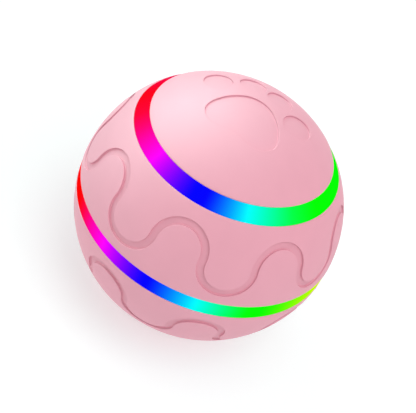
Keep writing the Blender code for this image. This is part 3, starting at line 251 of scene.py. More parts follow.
face_low, face_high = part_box("hub_face")
button_low, button_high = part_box("power_button")
plug_low, plug_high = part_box("port_plug")
socket_low, socket_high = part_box("charging_socket")
HUB_FACE = Vector((0, 0, face_low.z))
FACE_BACK = face_high.z - face_low.z
BUTTON_CENTRE = Vector(((button_low.x + button_high.x) / 2, 0, 0))
BUTTON_TOP = button_low.z - face_low.z
BUTTON_END = button_high.z - face_low.z
PLUG_TOP = plug_low.z - face_low.z
PLUG_BOTTOM = PLUG_TOP + PLUG_THICKNESS
PRONG_END = plug_high.z - face_low.z
SOCKET_CENTRE = (socket_low.x + socket_high.x) / 2
SOCKET_WIDTH = socket_high.x - socket_low.x
SOCKET_LENGTH = socket_high.y - socket_low.y
SOCKET_MOUTH = socket_low.z - face_low.z
SOCKET_SEAT = socket_high.z - face_low.z


def direction(latitude, longitude):
    """A unit vector. Longitude 0 is -Y, towards the camera, and 90 degrees is +X."""
    flat = math.cos(latitude)
    return Vector((flat * math.sin(longitude), -flat * math.cos(longitude), math.sin(latitude)))


class Shape:
    """Points and faces, gathered before they become a mesh."""

    def __init__(self):
        self.points = []
        self.faces = []

    def row(self, points):
        """Adds points and gives their numbers."""
        first = len(self.points)
        self.points.extend(points)
        return list(range(first, len(self.points)))

    def strip(self, one, other, closed=True):
        """Joins two rows of the same length with quads."""
        for i in range(len(one) if closed else len(one) - 1):
            j = (i + 1) % len(one)
            self.faces.append((one[i], one[j], other[j], other[i]))

    def strips(self, rows, closed=True):
        """Joins each row to the next."""
        for one, other in zip(rows, rows[1:]):
            self.strip(one, other, closed)

    def fan(self, row, tip):
        """Closes a row to a single point."""
        middle = self.row([tip])[0]
        for i in range(len(row)):
            self.faces.append((row[i], row[(i + 1) % len(row)], middle))

    def fill(self, loops, flatten, lift, step):
        """Fills the space between closed loops of point numbers with even triangles.

        Flatten gives a point's place in a plane, and lift brings a new place in the plane back, told how
        many of the loops hold it. Space that two of the loops hold stays open.
        """
        corners = [number for loop in loops for number in loop]
        flat = [Vector(flatten(self.points[number])) for number in corners]
        edges = []
        outlines = []
        start = 0
        for loop in loops:
            count = len(loop)
            edges += [(start + i, start + (i + 1) % count) for i in range(count)]
            outlines.append(np.array(flat[start:start + count]))
            start += count
        tree = KDTree(len(flat))
        for i, place in enumerate(flat):
            tree.insert((*place, 0), i)
        tree.balance()
        spread = even_points(np.array(flat), step)
        held = loops_that_hold(spread, outlines)
        for place, count in zip(spread, held):
            if count % 2 and tree.find((*place, 0))[2] > step * EDGE_ROOM:
                corners += self.row([lift(*place, count)])
                flat.append(Vector(place))
        result = delaunay_2d_cdt(flat, edges, [], INSIDE_ONLY, step * SAME_POINT)
        places, triangles, sources = result[0], result[2], result[3]
        middles = np.array([sum((places[v] for v in face), Vector((0, 0))) / len(face) for face in triangles])
        for face, count in zip(triangles, loops_that_hold(middles, outlines)):
            if count != 2:
                self.faces.append(tuple(corners[sources[v][0]] for v in face))

    def fill_flat(self, *loops, sink=lambda x, y: 0):
        """Fills the face between closed loops that lie at one height, sunk where it has a hollow."""
        height = self.points[loops[0][0]].z
        self.fill(
            loops, lambda point: (point.x, point.y),
            lambda x, y, count: Vector((x, y, height + sink(x, y))), SMALL_FILL_STEP,
        )

    def add(self, other, transform=Matrix.Identity(3)):
        """Takes in another shape's points and faces, turned or mirrored by a transform."""
        first = len(self.points)
        self.points.extend(transform @ point for point in other.points)
        self.faces.extend(tuple(first + v for v in face) for face in other.faces)


def even_points(around, step):
    """Places in a plane on an even triangular grid that covers the given ones."""
    low, high = around.min(0), around.max(0)
    places = []
    height = step * math.sqrt(3) / 2
    for j in range(int((high[1] - low[1]) / height) + 1):
        for i in range(int((high[0] - low[0]) / step) + 2):
            places.append((low[0] + (i - 0.5 * (j % 2)) * step, low[1] + j * height))
    return np.array(places)


def loops_that_hold(places, outlines):
    """How many of the outlines hold each place."""
    held = np.zeros(len(places), int)
    x, y = places[:, 0], places[:, 1]
    for outline in outlines:
        odd = np.zeros(len(places), bool)
        for (ax, ay), (bx, by) in zip(outline, np.roll(outline, -1, axis=0)):
            if ay != by:
                crossed = (ay > y) != (by > y)
                odd ^= crossed & (x < ax + (y - ay) * (bx - ax) / (by - ay))
        held += odd
    return held


def evenly(points, step):
    """The same open line with points an even step apart, its ends kept."""
    lengths = [0]
    for one, other in zip(points, points[1:]):
        lengths.append(lengths[-1] + (other - one).length)
    count = max(2, round(lengths[-1] / step))
    found = []
    segment = 0
    for i in range(count + 1):
        wanted = lengths[-1] * i / count
        while segment < len(points) - 2 and lengths[segment + 1] < wanted:
            segment += 1
        share = (wanted - lengths[segment]) / (lengths[segment + 1] - lengths[segment])
        found.append(points[segment].lerp(points[segment + 1], share))
    return found


def wall_profile(depth):
    """(distance, depth) from a flat floor up a steep wall to the surface, the wall's middle at 0."""
    turn = WALL_SLOPE
    rise = depth - (FLOOR_FILLET + LIP_ROUNDING) * (1 - math.cos(turn))
    run = rise / math.tan(turn)
    width = (FLOOR_FILLET + LIP_ROUNDING) * math.sin(turn) + run
    profile = []
    for i in range(ARC_STEPS + 1):
        angle = turn * i / ARC_STEPS
        profile.append((FLOOR_FILLET * math.sin(angle), depth - FLOOR_FILLET * (1 - math.cos(angle))))
    for i in range(ARC_STEPS + 1):
        angle = turn * (1 - i / ARC_STEPS)
        profile.append((width - LIP_ROUNDING * math.sin(angle), LIP_ROUNDING * (1 - math.cos(angle))))
    return [(distance - width / 2, fall) for distance, fall in profile]


def bends(turn=math.pi / 2, steps=ARC_STEPS):
    """How far the points of an arc lie from its two tangents, as shares of its radius."""
    angles = [turn * i / steps for i in range(steps + 1)]
    return [(1 - math.sin(angle), 1 - math.cos(angle)) for angle in angles]


def rim_profile(latitude, side):
    """(latitude, radius) round the rim of a cover, from its outer face to its inner one."""
    rounding = [
        (latitude - side * ROUNDING_ANGLE * across, BALL_RADIUS - RIM_ROUNDING * down)
        for across, down in bends()
    ]
    return [*rounding, (latitude, SKIN_INNER)]


def inner_profile(start, end):
    """(latitude, radius) along a cover's inner face, from a start to an end that is left out."""
    return [(start + (end - start) * i / INNER_ROWS, SKIN_INNER) for i in range(INNER_ROWS)]


def turned_rows(shape, profile):
    """Rows round the pole axis for each (latitude, radius) of a profile."""
    longitudes = [WAVE_CREST_LONGITUDE + math.tau * i / SEGMENTS for i in range(SEGMENTS)]
    return [
        shape.row([direction(latitude, longitude) * radius for longitude in longitudes])
        for latitude, radius in profile
    ]


def groove_middle():
    """Directions along the middle of the groove, from a crest at longitude 0 to the next trough."""
    rise = (WAVE_HIGH_LATITUDE - WAVE_LOW_LATITUDE - WAVE_FLANK) / 2
    quarter = math.pi / WAVE_COUNT / 2
    line = []
    for i in range(GROOVE_STEPS + 1):
        turn = math.pi / 2 * i / GROOVE_STEPS
        latitude = WAVE_HIGH_LATITUDE - rise * (1 - math.cos(turn))
        line.append(direction(latitude, quarter * math.sin(turn)))
    for i in range(GROOVE_STEPS + 1):
        turn = math.pi / 2 * (1 - i / GROOVE_STEPS)
        latitude = WAVE_LOW_LATITUDE + rise * (1 - math.cos(turn))
        line.append(direction(latitude, quarter * (2 - math.sin(turn))))
    return [point.normalized() for point in evenly(line, LINE_STEP / BALL_RADIUS)]


def half_wave():
    """The outer face of a band from one crest to the next trough, with the groove sunk into it."""
    shape = Shape()
    middle = groove_middle()
    half_turn = math.pi / WAVE_COUNT
    at_crest = Matrix.Scale(-1, 3, (1, 0, 0))
    across_trough = direction(0, half_turn + math.pi / 2)
    at_trough = Matrix.Scale(-1, 3, across_trough)
    beyond = [at_crest @ middle[1], *middle, at_trough @ middle[-2]]
    wall = [(GROOVE_WIDTH / 2 + distance, depth) for distance, depth in wall_profile(GROOVE_DEPTH)]
    outside = [(wall[-1][0] + LINE_STEP * share, 0) for share in GROOVE_OUTSIDE]
    side = [*wall, *outside]
    section = [*reversed(side), (0, GROOVE_DEPTH), *((-distance, depth) for distance, depth in side)]
    rows = []
    for distance, depth in section:
        angle = distance / BALL_RADIUS
        points = []
        for before, here, after in zip(beyond, middle, beyond[2:]):
            across = here.cross(after - before).normalized()
            points.append((here * math.cos(angle) + across * math.sin(angle)) * (BALL_RADIUS - depth))
        rows.append(shape.row(points))
    shape.strips(rows, closed=False)

    low = EDGE_ANGLE + ROUNDING_ANGLE
    high = RING_LATITUDE - EDGE_ANGLE - ROUNDING_ANGLE
    for line, edge in ((rows[0], high), (rows[-1], low)):
        rim = shape.row([
            direction(edge, half_turn * i / EDGE_STEPS) * BALL_RADIUS for i in range(EDGE_STEPS + 1)
        ])
        trough_side = meridian(shape, line[-1], edge, half_turn)
        crest_side = meridian(shape, line[0], edge, 0)
        loop = [*line, *trough_side, *reversed(rim), *reversed(crest_side)]
        shape.fill([loop], flatten_band, lift_band, FILL_STEP)
    return shape


def meridian(shape, number, edge, longitude):
    """Points between a point and an edge along a meridian, both ends left out."""
    latitude = math.asin(shape.points[number].z / BALL_RADIUS)
    count = max(2, round(abs(edge - latitude) * BALL_RADIUS / FILL_STEP))
    return shape.row([
        direction(latitude + (edge - latitude) * i / count, longitude) * BALL_RADIUS for i in range(1, count)
    ])


def flatten_band(point):
    """A band's place in a plane: longitude and latitude, both as lengths on the ball."""
    latitude = math.asin(point.z / point.length)
    return (BALL_RADIUS * math.atan2(point.x, -point.y), BALL_RADIUS * latitude)


def lift_band(u, v, count):
    """The point on a band's outer face for a place in the plane."""
    return direction(v / BALL_RADIUS, u / BALL_RADIUS) * BALL_RADIUS


def band():
    """A whole band cover above the equator, as a closed solid."""
    shape = Shape()
    half = half_wave()
    mirror = Matrix.Scale(-1, 3, (1, 0, 0))
    for i in range(WAVE_COUNT):
        turn = Matrix.Rotation(WAVE_CREST_LONGITUDE + math.tau / WAVE_COUNT * i, 3, "Z")
        shape.add(half, turn)
        shape.add(half, turn @ mirror)
    high = RING_LATITUDE - EDGE_ANGLE
    upper = rim_profile(high, 1)
    lower = rim_profile(EDGE_ANGLE, -1)
    inner = inner_profile(high, EDGE_ANGLE)[1:]
    shape.strips(turned_rows(shape, [*upper, *inner, *reversed(lower)]))
    return shape


def on_cap(side, up, radius):
    """A point of the paw print, laid out along the surface from the pole and turned."""
    distance = math.hypot(side, up) / BALL_RADIUS
    azimuth = math.atan2(up, side) + PAW_TURN
    flat = radius * math.sin(distance)
    return Vector((flat * math.cos(azimuth), flat * math.sin(azimuth), radius * math.cos(distance)))


def flatten_cap(point):
    """The place of a cap's point in the plane of the paw print."""
    distance = BALL_RADIUS * math.acos(point.z / point.length)
    azimuth = math.atan2(point.y, point.x) - PAW_TURN
    return (distance * math.cos(azimuth), distance * math.sin(azimuth))


def lift_cap(u, v, count):
    """The point on the cap for a place in the plane: three loops hold a pocket's floor."""
    return on_cap(u, v, BALL_RADIUS - (PAW_DEPTH if count > 2 else 0))


def smooth_loop(points):
    """A closed smooth curve through points, in even steps."""
    count = len(points)
    line = []
    for i in range(count):
        a, b, c, d = (points[(i + k - 1) % count] for k in range(4))
        square = a * 2 - b * 5 + c * 4 - d
        cube = b * 3 - a - c * 3 + d
        for j in range(CURVE_STEPS):
            t = j / CURVE_STEPS
            line.append((b * 2 + (c - a) * t + square * t**2 + cube * t**3) / 2)
    return evenly([*line, line[0]], LINE_STEP)[:-1]


def pad_outline():
    """The large pad of the paw, the same on both sides of its middle line."""
    foot = PAD_TOP - PAD_HEIGHT
    right = [Vector((x * PAD_HALF_WIDTH, foot + y * PAD_HEIGHT)) for x, y in PAD_OUTLINE_SHARES]
    left = [Vector((-point.x, point.y)) for point in reversed(right)]
    top = Vector((0, foot + PAD_HEIGHT))
    notch = Vector((0, foot + PAD_NOTCH_SHARE * PAD_HEIGHT))
    shift = Vector((PAD_SHIFT, 0))
    return smooth_loop([point + shift for point in (top, *right, notch, *left)])


def toe_outline(side, length, width, across, up, tilt):
    """An oval toe on one side of the paw, leaning out by its tilt."""
    tilt *= side
    line = []
    for i in range(TOE_POINTS):
        turn = -math.tau * i / TOE_POINTS
        wide, long = width / 2 * math.cos(turn), length / 2 * math.sin(turn)
        x = wide * math.cos(tilt) + long * math.sin(tilt)
        y = long * math.cos(tilt) - wide * math.sin(tilt)
        line.append(Vector((side * across + x + TOE_SHIFT, up + y)))
    return smooth_loop(line)


def paw_outlines():
    """The pad and the four toes, each running clockwise."""
    toes = [toe_outline(side, *toe) for side in (-1, 1) for toe in (OUTER_TOE, INNER_TOE)]
    return [pad_outline(), *toes]


def sunk_rows(shape, outline, section, lift):
    """Joined rows along a clockwise outline, one for each (distance outwards, depth) of a section."""
    rows = []
    for distance, depth in section:
        points = []
        for i, here in enumerate(outline):
            along = (outline[(i + 1) % len(outline)] - outline[i - 1]).normalized()
            place = here + Vector((-along.y, along.x)) * distance
            points.append(lift(place.x, place.y, depth))
        rows.append(shape.row(points))
    shape.strips(rows)
    return rows


def sunk_in_cap(side, up, depth):
    """A point of the paw print at a depth under the surface."""
    return on_cap(side, up, BALL_RADIUS - depth)


def upper_cap():
    """The top cap with the paw print sunk into it, as a closed solid."""
    shape = Shape()
    wall = wall_profile(PAW_DEPTH)
    section = [(wall[0][0] - LINE_STEP * share, PAW_DEPTH) for share in POCKET_INSIDE]
    section += wall
    section += [(wall[-1][0] + LINE_STEP * share, 0) for share in POCKET_OUTSIDE]
    edge = RING_LATITUDE + EDGE_ANGLE
    rim_rows = turned_rows(shape, rim_profile(edge, -1))
    loops = [rim_rows[0]]
    for outline in paw_outlines():
        rows = sunk_rows(shape, outline, section, sunk_in_cap)
        loops += [rows[0], rows[-1]]
    shape.fill(loops, flatten_cap, lift_cap, FILL_STEP)
    inner_rows = [rim_rows[-1], *turned_rows(shape, inner_profile(edge, math.pi / 2)[1:])]
    shape.strips([*rim_rows[:-1], *inner_rows])
    shape.fan(inner_rows[-1], Vector((0, 0, SKIN_INNER)))
    return shape


def lower_cap():
    """The bottom cap with its flat and the hub's hole, as a closed solid."""
    shape = Shape()
    edge = -RING_LATITUDE - EDGE_ANGLE
    base = -math.acos(BASE_FLAT_RADIUS / BALL_RADIUS)
    drop = math.sqrt(BALL_RADIUS**2 - BASE_FLAT_RADIUS**2)
    bend = BASE_ROUNDING / BALL_RADIUS
    profile = [(edge + (base + bend - edge) * i / CAP_ROWS, BALL_RADIUS) for i in range(1, CAP_ROWS)]
    start = Vector((BALL_RADIUS * math.cos(base + bend), BALL_RADIUS * math.sin(base + bend)))
    corner = Vector((BASE_FLAT_RADIUS, -drop))
    end = Vector((BASE_FLAT_RADIUS - BASE_ROUNDING, -drop))
    outline = []
    for i in range(CAP_ROWS + 1):
        t = i / CAP_ROWS
        outline.append(start.lerp(corner, t).lerp(corner.lerp(end, t), t))
    for across, down in bends():
        outline.append(Vector((SKIN_HOLE_RADIUS + HOLE_ROUNDING * across, -drop + HOLE_ROUNDING * down)))
    inside = -math.acos(SKIN_HOLE_RADIUS / SKIN_INNER)
    profile += [(math.atan2(point.y, point.x), point.length) for point in outline]
    profile += inner_profile(inside, edge)
    rows = turned_rows(shape, [*rim_profile(edge, 1), *reversed(profile)])
    shape.strips([*rows, rows[0]])
    return shape


def light_ring(middle):
    """A frosted ring about a latitude, as a closed solid."""
    shape = Shape()
    half = RING_HALF / BALL_RADIUS
    bend = RING_ROUNDING / BALL_RADIUS
    corner = [(half - bend * down, RING_RADIUS - RING_ROUNDING * across) for across, down in bends()]
    low = [(middle - away, radius) for away, radius in corner]
    high = [(middle + away, radius) for away, radius in reversed(corner)]
    flat = half - bend
    face = [(middle - flat + 2 * flat * i / RING_ROWS, RING_RADIUS) for i in range(1, RING_ROWS)]
    inner = [(middle + half, SKIN_INNER), (middle - half, SKIN_INNER)]
    rows = turned_rows(shape, [*low, *face, *high, *inner])
    shape.strips([*rows, rows[0]])
    return shape


def lathe(profile, closed=False):
    """A solid turned about the z axis from (radius, height) points.

    An open profile starts and ends on the axis.
    """
    shape = Shape()
    rows = []
    for radius, height in profile if closed else profile[1:-1]:
        turns = (math.tau * i / LATHE_SEGMENTS for i in range(LATHE_SEGMENTS))
        rows.append(shape.row([Vector((radius * math.cos(a), radius * math.sin(a), height)) for a in turns]))
    if closed:
        shape.strips([*rows, rows[0]])
    else:
        shape.strips(rows)
        shape.fan(rows[0], Vector((0, 0, profile[0][1])))
        shape.fan(rows[-1], Vector((0, 0, profile[-1][1])))
    return shape


def rounded_wall(top, bottom, rounding, side):
    """(distance, depth) round the edge of a face and along a wall.

    Side is 1 where the face is outside the outline, and -1 where it is inside.
    """
    fall = math.copysign(rounding, bottom - top)
    return [*((side * rounding * across, top + fall * down) for across, down in bends()), (0, bottom)]


def round_outline(x, y, radius):
    """A clockwise circle."""
    count = round(math.tau * radius / SMALL_STEP)
    turns = (-math.tau * i / count for i in range(count))
    return [Vector((x + radius * math.cos(a), y + radius * math.sin(a))) for a in turns]


def cornered_outline(corners):
    """A closed outline round square corners, each (x, y, rounding), in even steps."""
    line = []
    for i, (x, y, rounding) in enumerate(corners):
        here = Vector((x, y))
        back = (Vector(corners[i - 1][:2]) - here).normalized() * rounding
        ahead = (Vector(corners[(i + 1) % len(corners)][:2]) - here).normalized() * rounding
        line += [here + back * across + ahead * down for across, down in bends(steps=2 * ARC_STEPS)]
    return evenly([*line, line[0]], SMALL_STEP)[:-1]


def slot_outline(width, length, x=0, y=0):
    """A clockwise outline with round ends, long in Y."""
    across, along = width / 2, length / 2
    rounding = across * ROUND_END
    return cornered_outline([
        (x - across, y + along, rounding), (x + across, y + along, rounding),
        (x + across, y - along, rounding), (x - across, y - along, rounding),
    ])


def plug_outline(margin, tab_end):
    """The plug's flap with the tab to its hinge, grown by a margin."""
    across = PLUG_WIDTH / 2 + margin
    along = plug_high.y + margin
    tab = PLUG_TAB_WIDTH / 2 + margin
    left, right = SOCKET_CENTRE - across, SOCKET_CENTRE + across
    rounding = across * ROUND_END
    return cornered_outline([
        (left, along, rounding), (right, along, rounding), (right, tab, TAB_ROUNDING),
        (tab_end, tab, TAB_ROUNDING), (tab_end, -tab, TAB_ROUNDING), (right, -tab, TAB_ROUNDING),
        (right, -along, rounding), (left, -along, rounding),
    ])


def at_depth(x, y, depth):
    """A point of the hub at a depth behind its face."""
    return Vector((x, y, depth))


def wall_rows(shape, outline, top, bottom, rounding, side):
    """Joined rows along a clockwise outline, round the edge of a face and along its wall."""
    return sunk_rows(shape, outline, rounded_wall(top, bottom, rounding, side), at_depth)


def slab(outline, top, bottom, rounding):
    """A closed solid along a clockwise outline, with a rounded edge at its top."""
    shape = Shape()
    rows = wall_rows(shape, outline, top, bottom, rounding, -1)
    shape.fill_flat(rows[0])
    shape.fill_flat(rows[-1])
    return shape


def hub_face():
    """The plate in the hub's end, with the button's hole and the plug's recess round the socket."""
    shape = Shape()
    recess = PLUG_BOTTOM + FIT_GAP
    rim = wall_rows(shape, round_outline(0, 0, face_high.x), 0, FACE_BACK, FACE_ROUNDING, -1)
    button_line = round_outline(BUTTON_CENTRE.x, 0, BUTTON_RADIUS + FIT_GAP)
    hole = wall_rows(shape, button_line, 0, FACE_BACK, RECESS_ROUNDING, 1)
    flap_line = plug_outline(FIT_GAP, plug_high.x + 2 * FIT_GAP)
    flap = wall_rows(shape, flap_line, 0, recess, RECESS_ROUNDING, 1)
    socket_line = slot_outline(SOCKET_WIDTH + 2 * FIT_GAP, SOCKET_LENGTH + 2 * FIT_GAP, SOCKET_CENTRE)
    mouth = wall_rows(shape, socket_line, recess, FACE_BACK, RECESS_ROUNDING, 1)
    shape.fill_flat(rim[0], hole[0], flap[0])
    shape.fill_flat(flap[-1], mouth[0])
    shape.fill_flat(rim[-1], hole[-1], mouth[-1])
    return shape


def hub_sleeve():
    """The thin sleeve round the end of the hub's tube."""
    outer, inner = HUB_RADIUS + SLEEVE_WALL, HUB_RADIUS - HUB_WALL - 2 * SLEEVE_WALL
    bend = SLEEVE_WALL
    return lathe([
        (outer + bend, SLEEVE_HEIGHT), (outer + bend, 0), (outer, -bend), (inner, -bend),
        (inner - bend, 0), (inner - bend, SLEEVE_HEIGHT / 2), (inner, SLEEVE_HEIGHT / 2), (inner, -bend / 2),
        (outer, -bend / 2), (outer, SLEEVE_HEIGHT),
    ], closed=True)


def power_button():
    """The round button with its dished face and ring mark, its flange and its stem."""
    mark_out = BUTTON_MARK_RADIUS + BUTTON_MARK_WIDTH / 2
    mark_in = BUTTON_MARK_RADIUS - BUTTON_MARK_WIDTH / 2
    flange_radius = (button_high.x - button_low.x) / 2
    flange_end = BUTTON_FLANGE_AT + BUTTON_FLANGE
    middle = BUTTON_TOP + BUTTON_DISH
    dish = BUTTON_TOP + BUTTON_DISH * DISH_AT_MARK
    rim = BUTTON_RADIUS - FACE_ROUNDING
    edge = rounded_wall(BUTTON_TOP, BUTTON_FLANGE_AT, FACE_ROUNDING, -1)
    return lathe([
        (0, middle), (mark_in / 2, middle), (mark_in - BUTTON_MARK_WALL, dish),
        (mark_in, dish + BUTTON_MARK_DEPTH), (mark_out, dish + BUTTON_MARK_DEPTH),
        (mark_out + BUTTON_MARK_WALL, dish),
        (mark_out + (rim - mark_out) * DISH_RIM_PLACE, BUTTON_TOP + BUTTON_DISH * DISH_AT_RIM),
        *((BUTTON_RADIUS + distance, depth) for distance, depth in edge),
        (flange_radius, BUTTON_FLANGE_AT), (flange_radius, flange_end), (BUTTON_STEM_RADIUS, flange_end),
        (BUTTON_STEM_RADIUS, BUTTON_END), (0, BUTTON_END),
    ])


def notch_depth(x, y):
    """How far the fingernail notch at the free end of the plug sinks its face."""
    reach = math.hypot(x - plug_low.x - NOTCH_INSET, y / NOTCH_STRETCH) / NOTCH_RADIUS
    return NOTCH_DEPTH * (1 - reach**2) ** 2 if reach < 1 else 0


def port_plug():
    """The plug: a flap on its tab, with a notch for a fingernail and a prong that seals the socket."""
    shape = Shape()
    middle = (PLUG_TOP + PLUG_BOTTOM) / 2
    upper = rounded_wall(PLUG_TOP, middle, PLUG_ROUNDING, -1)
    lower = rounded_wall(PLUG_BOTTOM, middle, PLUG_ROUNDING / 2, -1)[:-1]
    rows = sunk_rows(shape, plug_outline(0, plug_high.x), [*upper, *reversed(lower)], at_depth)
    shape.fill_flat(rows[0], sink=notch_depth)
    prong_line = slot_outline(PRONG_WIDTH, PRONG_LENGTH, SOCKET_CENTRE)
    prong = wall_rows(shape, prong_line, PRONG_END, PLUG_BOTTOM, PLUG_ROUNDING, -1)
    shape.fill_flat(rows[-1], prong[-1])
    shape.fill_flat(prong[0])
    return shape


def socket_shell():
    """The drawn metal shell of the charging socket."""
    shape = Shape()
    outer_line = slot_outline(SOCKET_WIDTH, SOCKET_LENGTH, SOCKET_CENTRE)
    outer = wall_rows(shape, outer_line, SOCKET_MOUTH, SOCKET_SEAT, SOCKET_ROUNDING, -1)
    inner_line = slot_outline(SOCKET_WIDTH - 2 * SOCKET_WALL, SOCKET_LENGTH - 2 * SOCKET_WALL, SOCKET_CENTRE)
    inner = wall_rows(shape, inner_line, SOCKET_MOUTH, SOCKET_SEAT - SOCKET_FLOOR, SOCKET_ROUNDING, 1)
    shape.fill_flat(outer[0], inner[0])
    shape.fill_flat(inner[-1])
    shape.fill_flat(outer[-1])
    return shape


def socket_tongue():
    """The moulded tongue in the socket."""
    outline = slot_outline(TONGUE_WIDTH, TONGUE_LENGTH, SOCKET_CENTRE)
    return slab(outline, SOCKET_MOUTH + TONGUE_SINK, SOCKET_SEAT - SOCKET_FLOOR, TONGUE_ROUNDING)


def socket_contacts():
    """The flat contacts on both sides of the tongue."""
    contacts = Shape()
    top = SOCKET_MOUTH + TONGUE_SINK + CONTACT_WIDTH
    for side in (-1, 1):
        x = SOCKET_CENTRE + side * (TONGUE_WIDTH + CONTACT_THICKNESS) / 2
        for i in range(CONTACTS_PER_SIDE):
            y = (i - (CONTACTS_PER_SIDE - 1) / 2) * CONTACT_STEP
            outline = slot_outline(CONTACT_THICKNESS, CONTACT_WIDTH, x, y)
            contacts.add(slab(outline, top, top + CONTACT_LENGTH, CONTACT_ROUNDING))
    return contacts


def add_object(name, data):
    """A new object in the scene."""
    made = bpy.data.objects.new(name, data)
    bpy.context.scene.collection.objects.link(made)
    return made


def piece(name, shape, material, body, replaced, place=CENTRE, mirrored=False):
    """A piece made from a shape about a place, riding on a body in the stead of CAD nodes."""
    mesh = bpy.data.meshes.new(name)
    mesh.from_pydata([tuple(point) for point in shape.points], [], shape.faces)
    solid = bmesh.new()
    solid.from_mesh(mesh)
    if mirrored:
        bmesh.ops.transform(solid, matrix=Matrix.Scale(-1, 4, (0, 0, 1)), verts=solid.verts[:])
    bmesh.ops.remove_doubles(solid, verts=solid.verts[:], dist=MERGE)
    bmesh.ops.recalc_face_normals(solid, faces=solid.faces[:])
    solid.to_mesh(mesh)
    solid.free()
    mesh.shade_smooth()
    mesh.materials.append(material)
    made = add_object(name, mesh)
    made.location = place
    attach(made, body)
    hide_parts(*replaced)
    return made


def feed(tree, node, values):
    """Gives each named or numbered input of a node a value or another node's output."""
    for socket, value in values.items():
        if isinstance(value, bpy.types.NodeSocket):
            tree.links.new(value, node.inputs[socket])
        else:
            node.inputs[socket].default_value = value


def add_node(tree, kind, values, **settings):
    """A new node with its settings and inputs."""
    made = tree.nodes.new(kind)
    for name, value in settings.items():
        setattr(made, name, value)
    feed(tree, made, values)
    return made


def opaque(colour):
    """A colour with full opacity."""
    return (*colour, 1)


def shade(colour, share):
    """A darker or lighter shade of a colour, with full opacity."""
    return opaque(min(1, c * share) for c in colour)


class Finish:
    """A material with its shader, and short ways to add nodes to it."""

    def __init__(self, name, colour, roughness, metallic=0, **values):
        self.material = bpy.data.materials.new(name)
        self.material.use_nodes = True
        self.tree = self.material.node_tree
        self.shader = self.tree.nodes["Principled BSDF"]
        self.give({"Base Color": opaque(colour), "Roughness": roughness, "Metallic": metallic})
        self.give({socket.replace("_", " "): value for socket, value in values.items()})
        self.place = self.node("ShaderNodeTexCoord", {}).outputs["Object"]

    def node(self, kind, values, **settings):
        """A new node in the material."""
        return add_node(self.tree, kind, values, **settings)

    def give(self, values):
        """Gives the shader's inputs a value or a node's output."""
        feed(self.tree, self.shader, values)

    def distance(self):
        """How far a point is from the object's origin."""
        return self.node("ShaderNodeVectorMath", {0: self.place}, operation="LENGTH").outputs["Value"]

    def noise(self, size, detail=2, squeeze=None):
        """A soft random pattern with features of a real size, squeezed by axis where that is given."""
        place = self.place
        if squeeze:
            place = self.node("ShaderNodeMapping", {"Vector": place, "Scale": squeeze}).outputs["Vector"]
        values = {"Vector": place, "Scale": 1 / size, "Detail": detail}
        return self.node("ShaderNodeTexNoise", values).outputs["Fac"]

    def bands(self, axis, step, distortion=0):
        """Soft parallel bands a real step apart."""
        values = {"Vector": self.place, "Scale": WAVE_TEXTURE_STEP / step, "Distortion": distortion}
        return self.node("ShaderNodeTexWave", values, bands_direction=axis).outputs["Fac"]

    def spread(self, source, low=0, high=1, start=0.3, end=0.7):
        """A value mapped from a pattern's range to another range."""
        values = {"Value": source, "From Min": start, "From Max": end, "To Min": low, "To Max": high}
        return self.node("ShaderNodeMapRange", values).outputs["Result"]

    def mixed(self, share, one, other):
        """A colour between two, each of them a colour or another node's output."""
        values = {MIX_SHARE: share, MIX_ONE: one, MIX_OTHER: other}
        return self.node("ShaderNodeMix", values, data_type="RGBA").outputs[MIX_RESULT]

    def shades(self, source, colour, dark, light):
        """A colour between its darker and its lighter shade, along a pattern."""
        return self.mixed(source, shade(colour, dark), shade(colour, light))

    def tint(self, source, colour, dark, light=1):
        """The base colour, between two shades along a pattern."""
        self.give({"Base Color": self.shades(source, colour, dark, light)})

    def ramp(self, source, stops):
        """Colours along a value, as (place from 0 to 1, colour)."""
        made = self.node("ShaderNodeValToRGB", {"Fac": source})
        elements = made.color_ramp.elements
        while len(elements) < len(stops):
            elements.new(0.5)
        for element, (place, colour) in zip(elements, stops):
            element.position = place
            element.color = opaque(colour)
        return made.outputs["Color"]

    def roughen(self, source, low, high):
        """Roughness that varies along a pattern."""
        self.give({"Roughness": self.spread(source, low, high)})

    def bump(self, source, depth):
        """Fine relief of a real depth."""
        made = self.node("ShaderNodeBump", {"Height": source, "Distance": depth, "Strength": 1})
        self.give({"Normal": made.outputs["Normal"]})

    def textured(self, source, low, high, depth):
        """The material, with roughness and fine relief that both follow a pattern."""
        self.roughen(source, low, high)
        self.bump(source, depth)
        return self.material


def silicone(name, colour, shaded_relief=False):
    """Matte silicone: a fine even grain, a slight cloudiness and, where asked, painted shade that darkens the
    relief by its depth.
    """
    made = Finish(name, colour, SILICONE_ROUGHNESS, Specular_IOR_Level=SILICONE_SPECULAR)
    base = made.shades(made.spread(made.noise(size=9 * MM)), colour, dark=0.985, light=1.015)
    if shaded_relief:
        # Painted shade: the colour darkens in the groove and the paw print's pockets, by how deep they lie
        deepest = RELIEF_SHADE_AMOUNTS[-1][0]
        share = made.spread(made.distance(), start=BALL_RADIUS, end=BALL_RADIUS - deepest)
        shade_amount = made.ramp(share, [(fall / deepest, (amount,) * 3) for fall, amount in RELIEF_SHADE_AMOUNTS])
        base = made.mixed(shade_amount, base, opaque(RELIEF_SHADE_COLOUR))
    made.give({"Base Color": base})
    low, high = SILICONE_ROUGHNESS - 0.03, SILICONE_ROUGHNESS + 0.03
    return made.textured(made.noise(size=0.35 * MM, detail=3), low, high, depth=0.004 * MM)


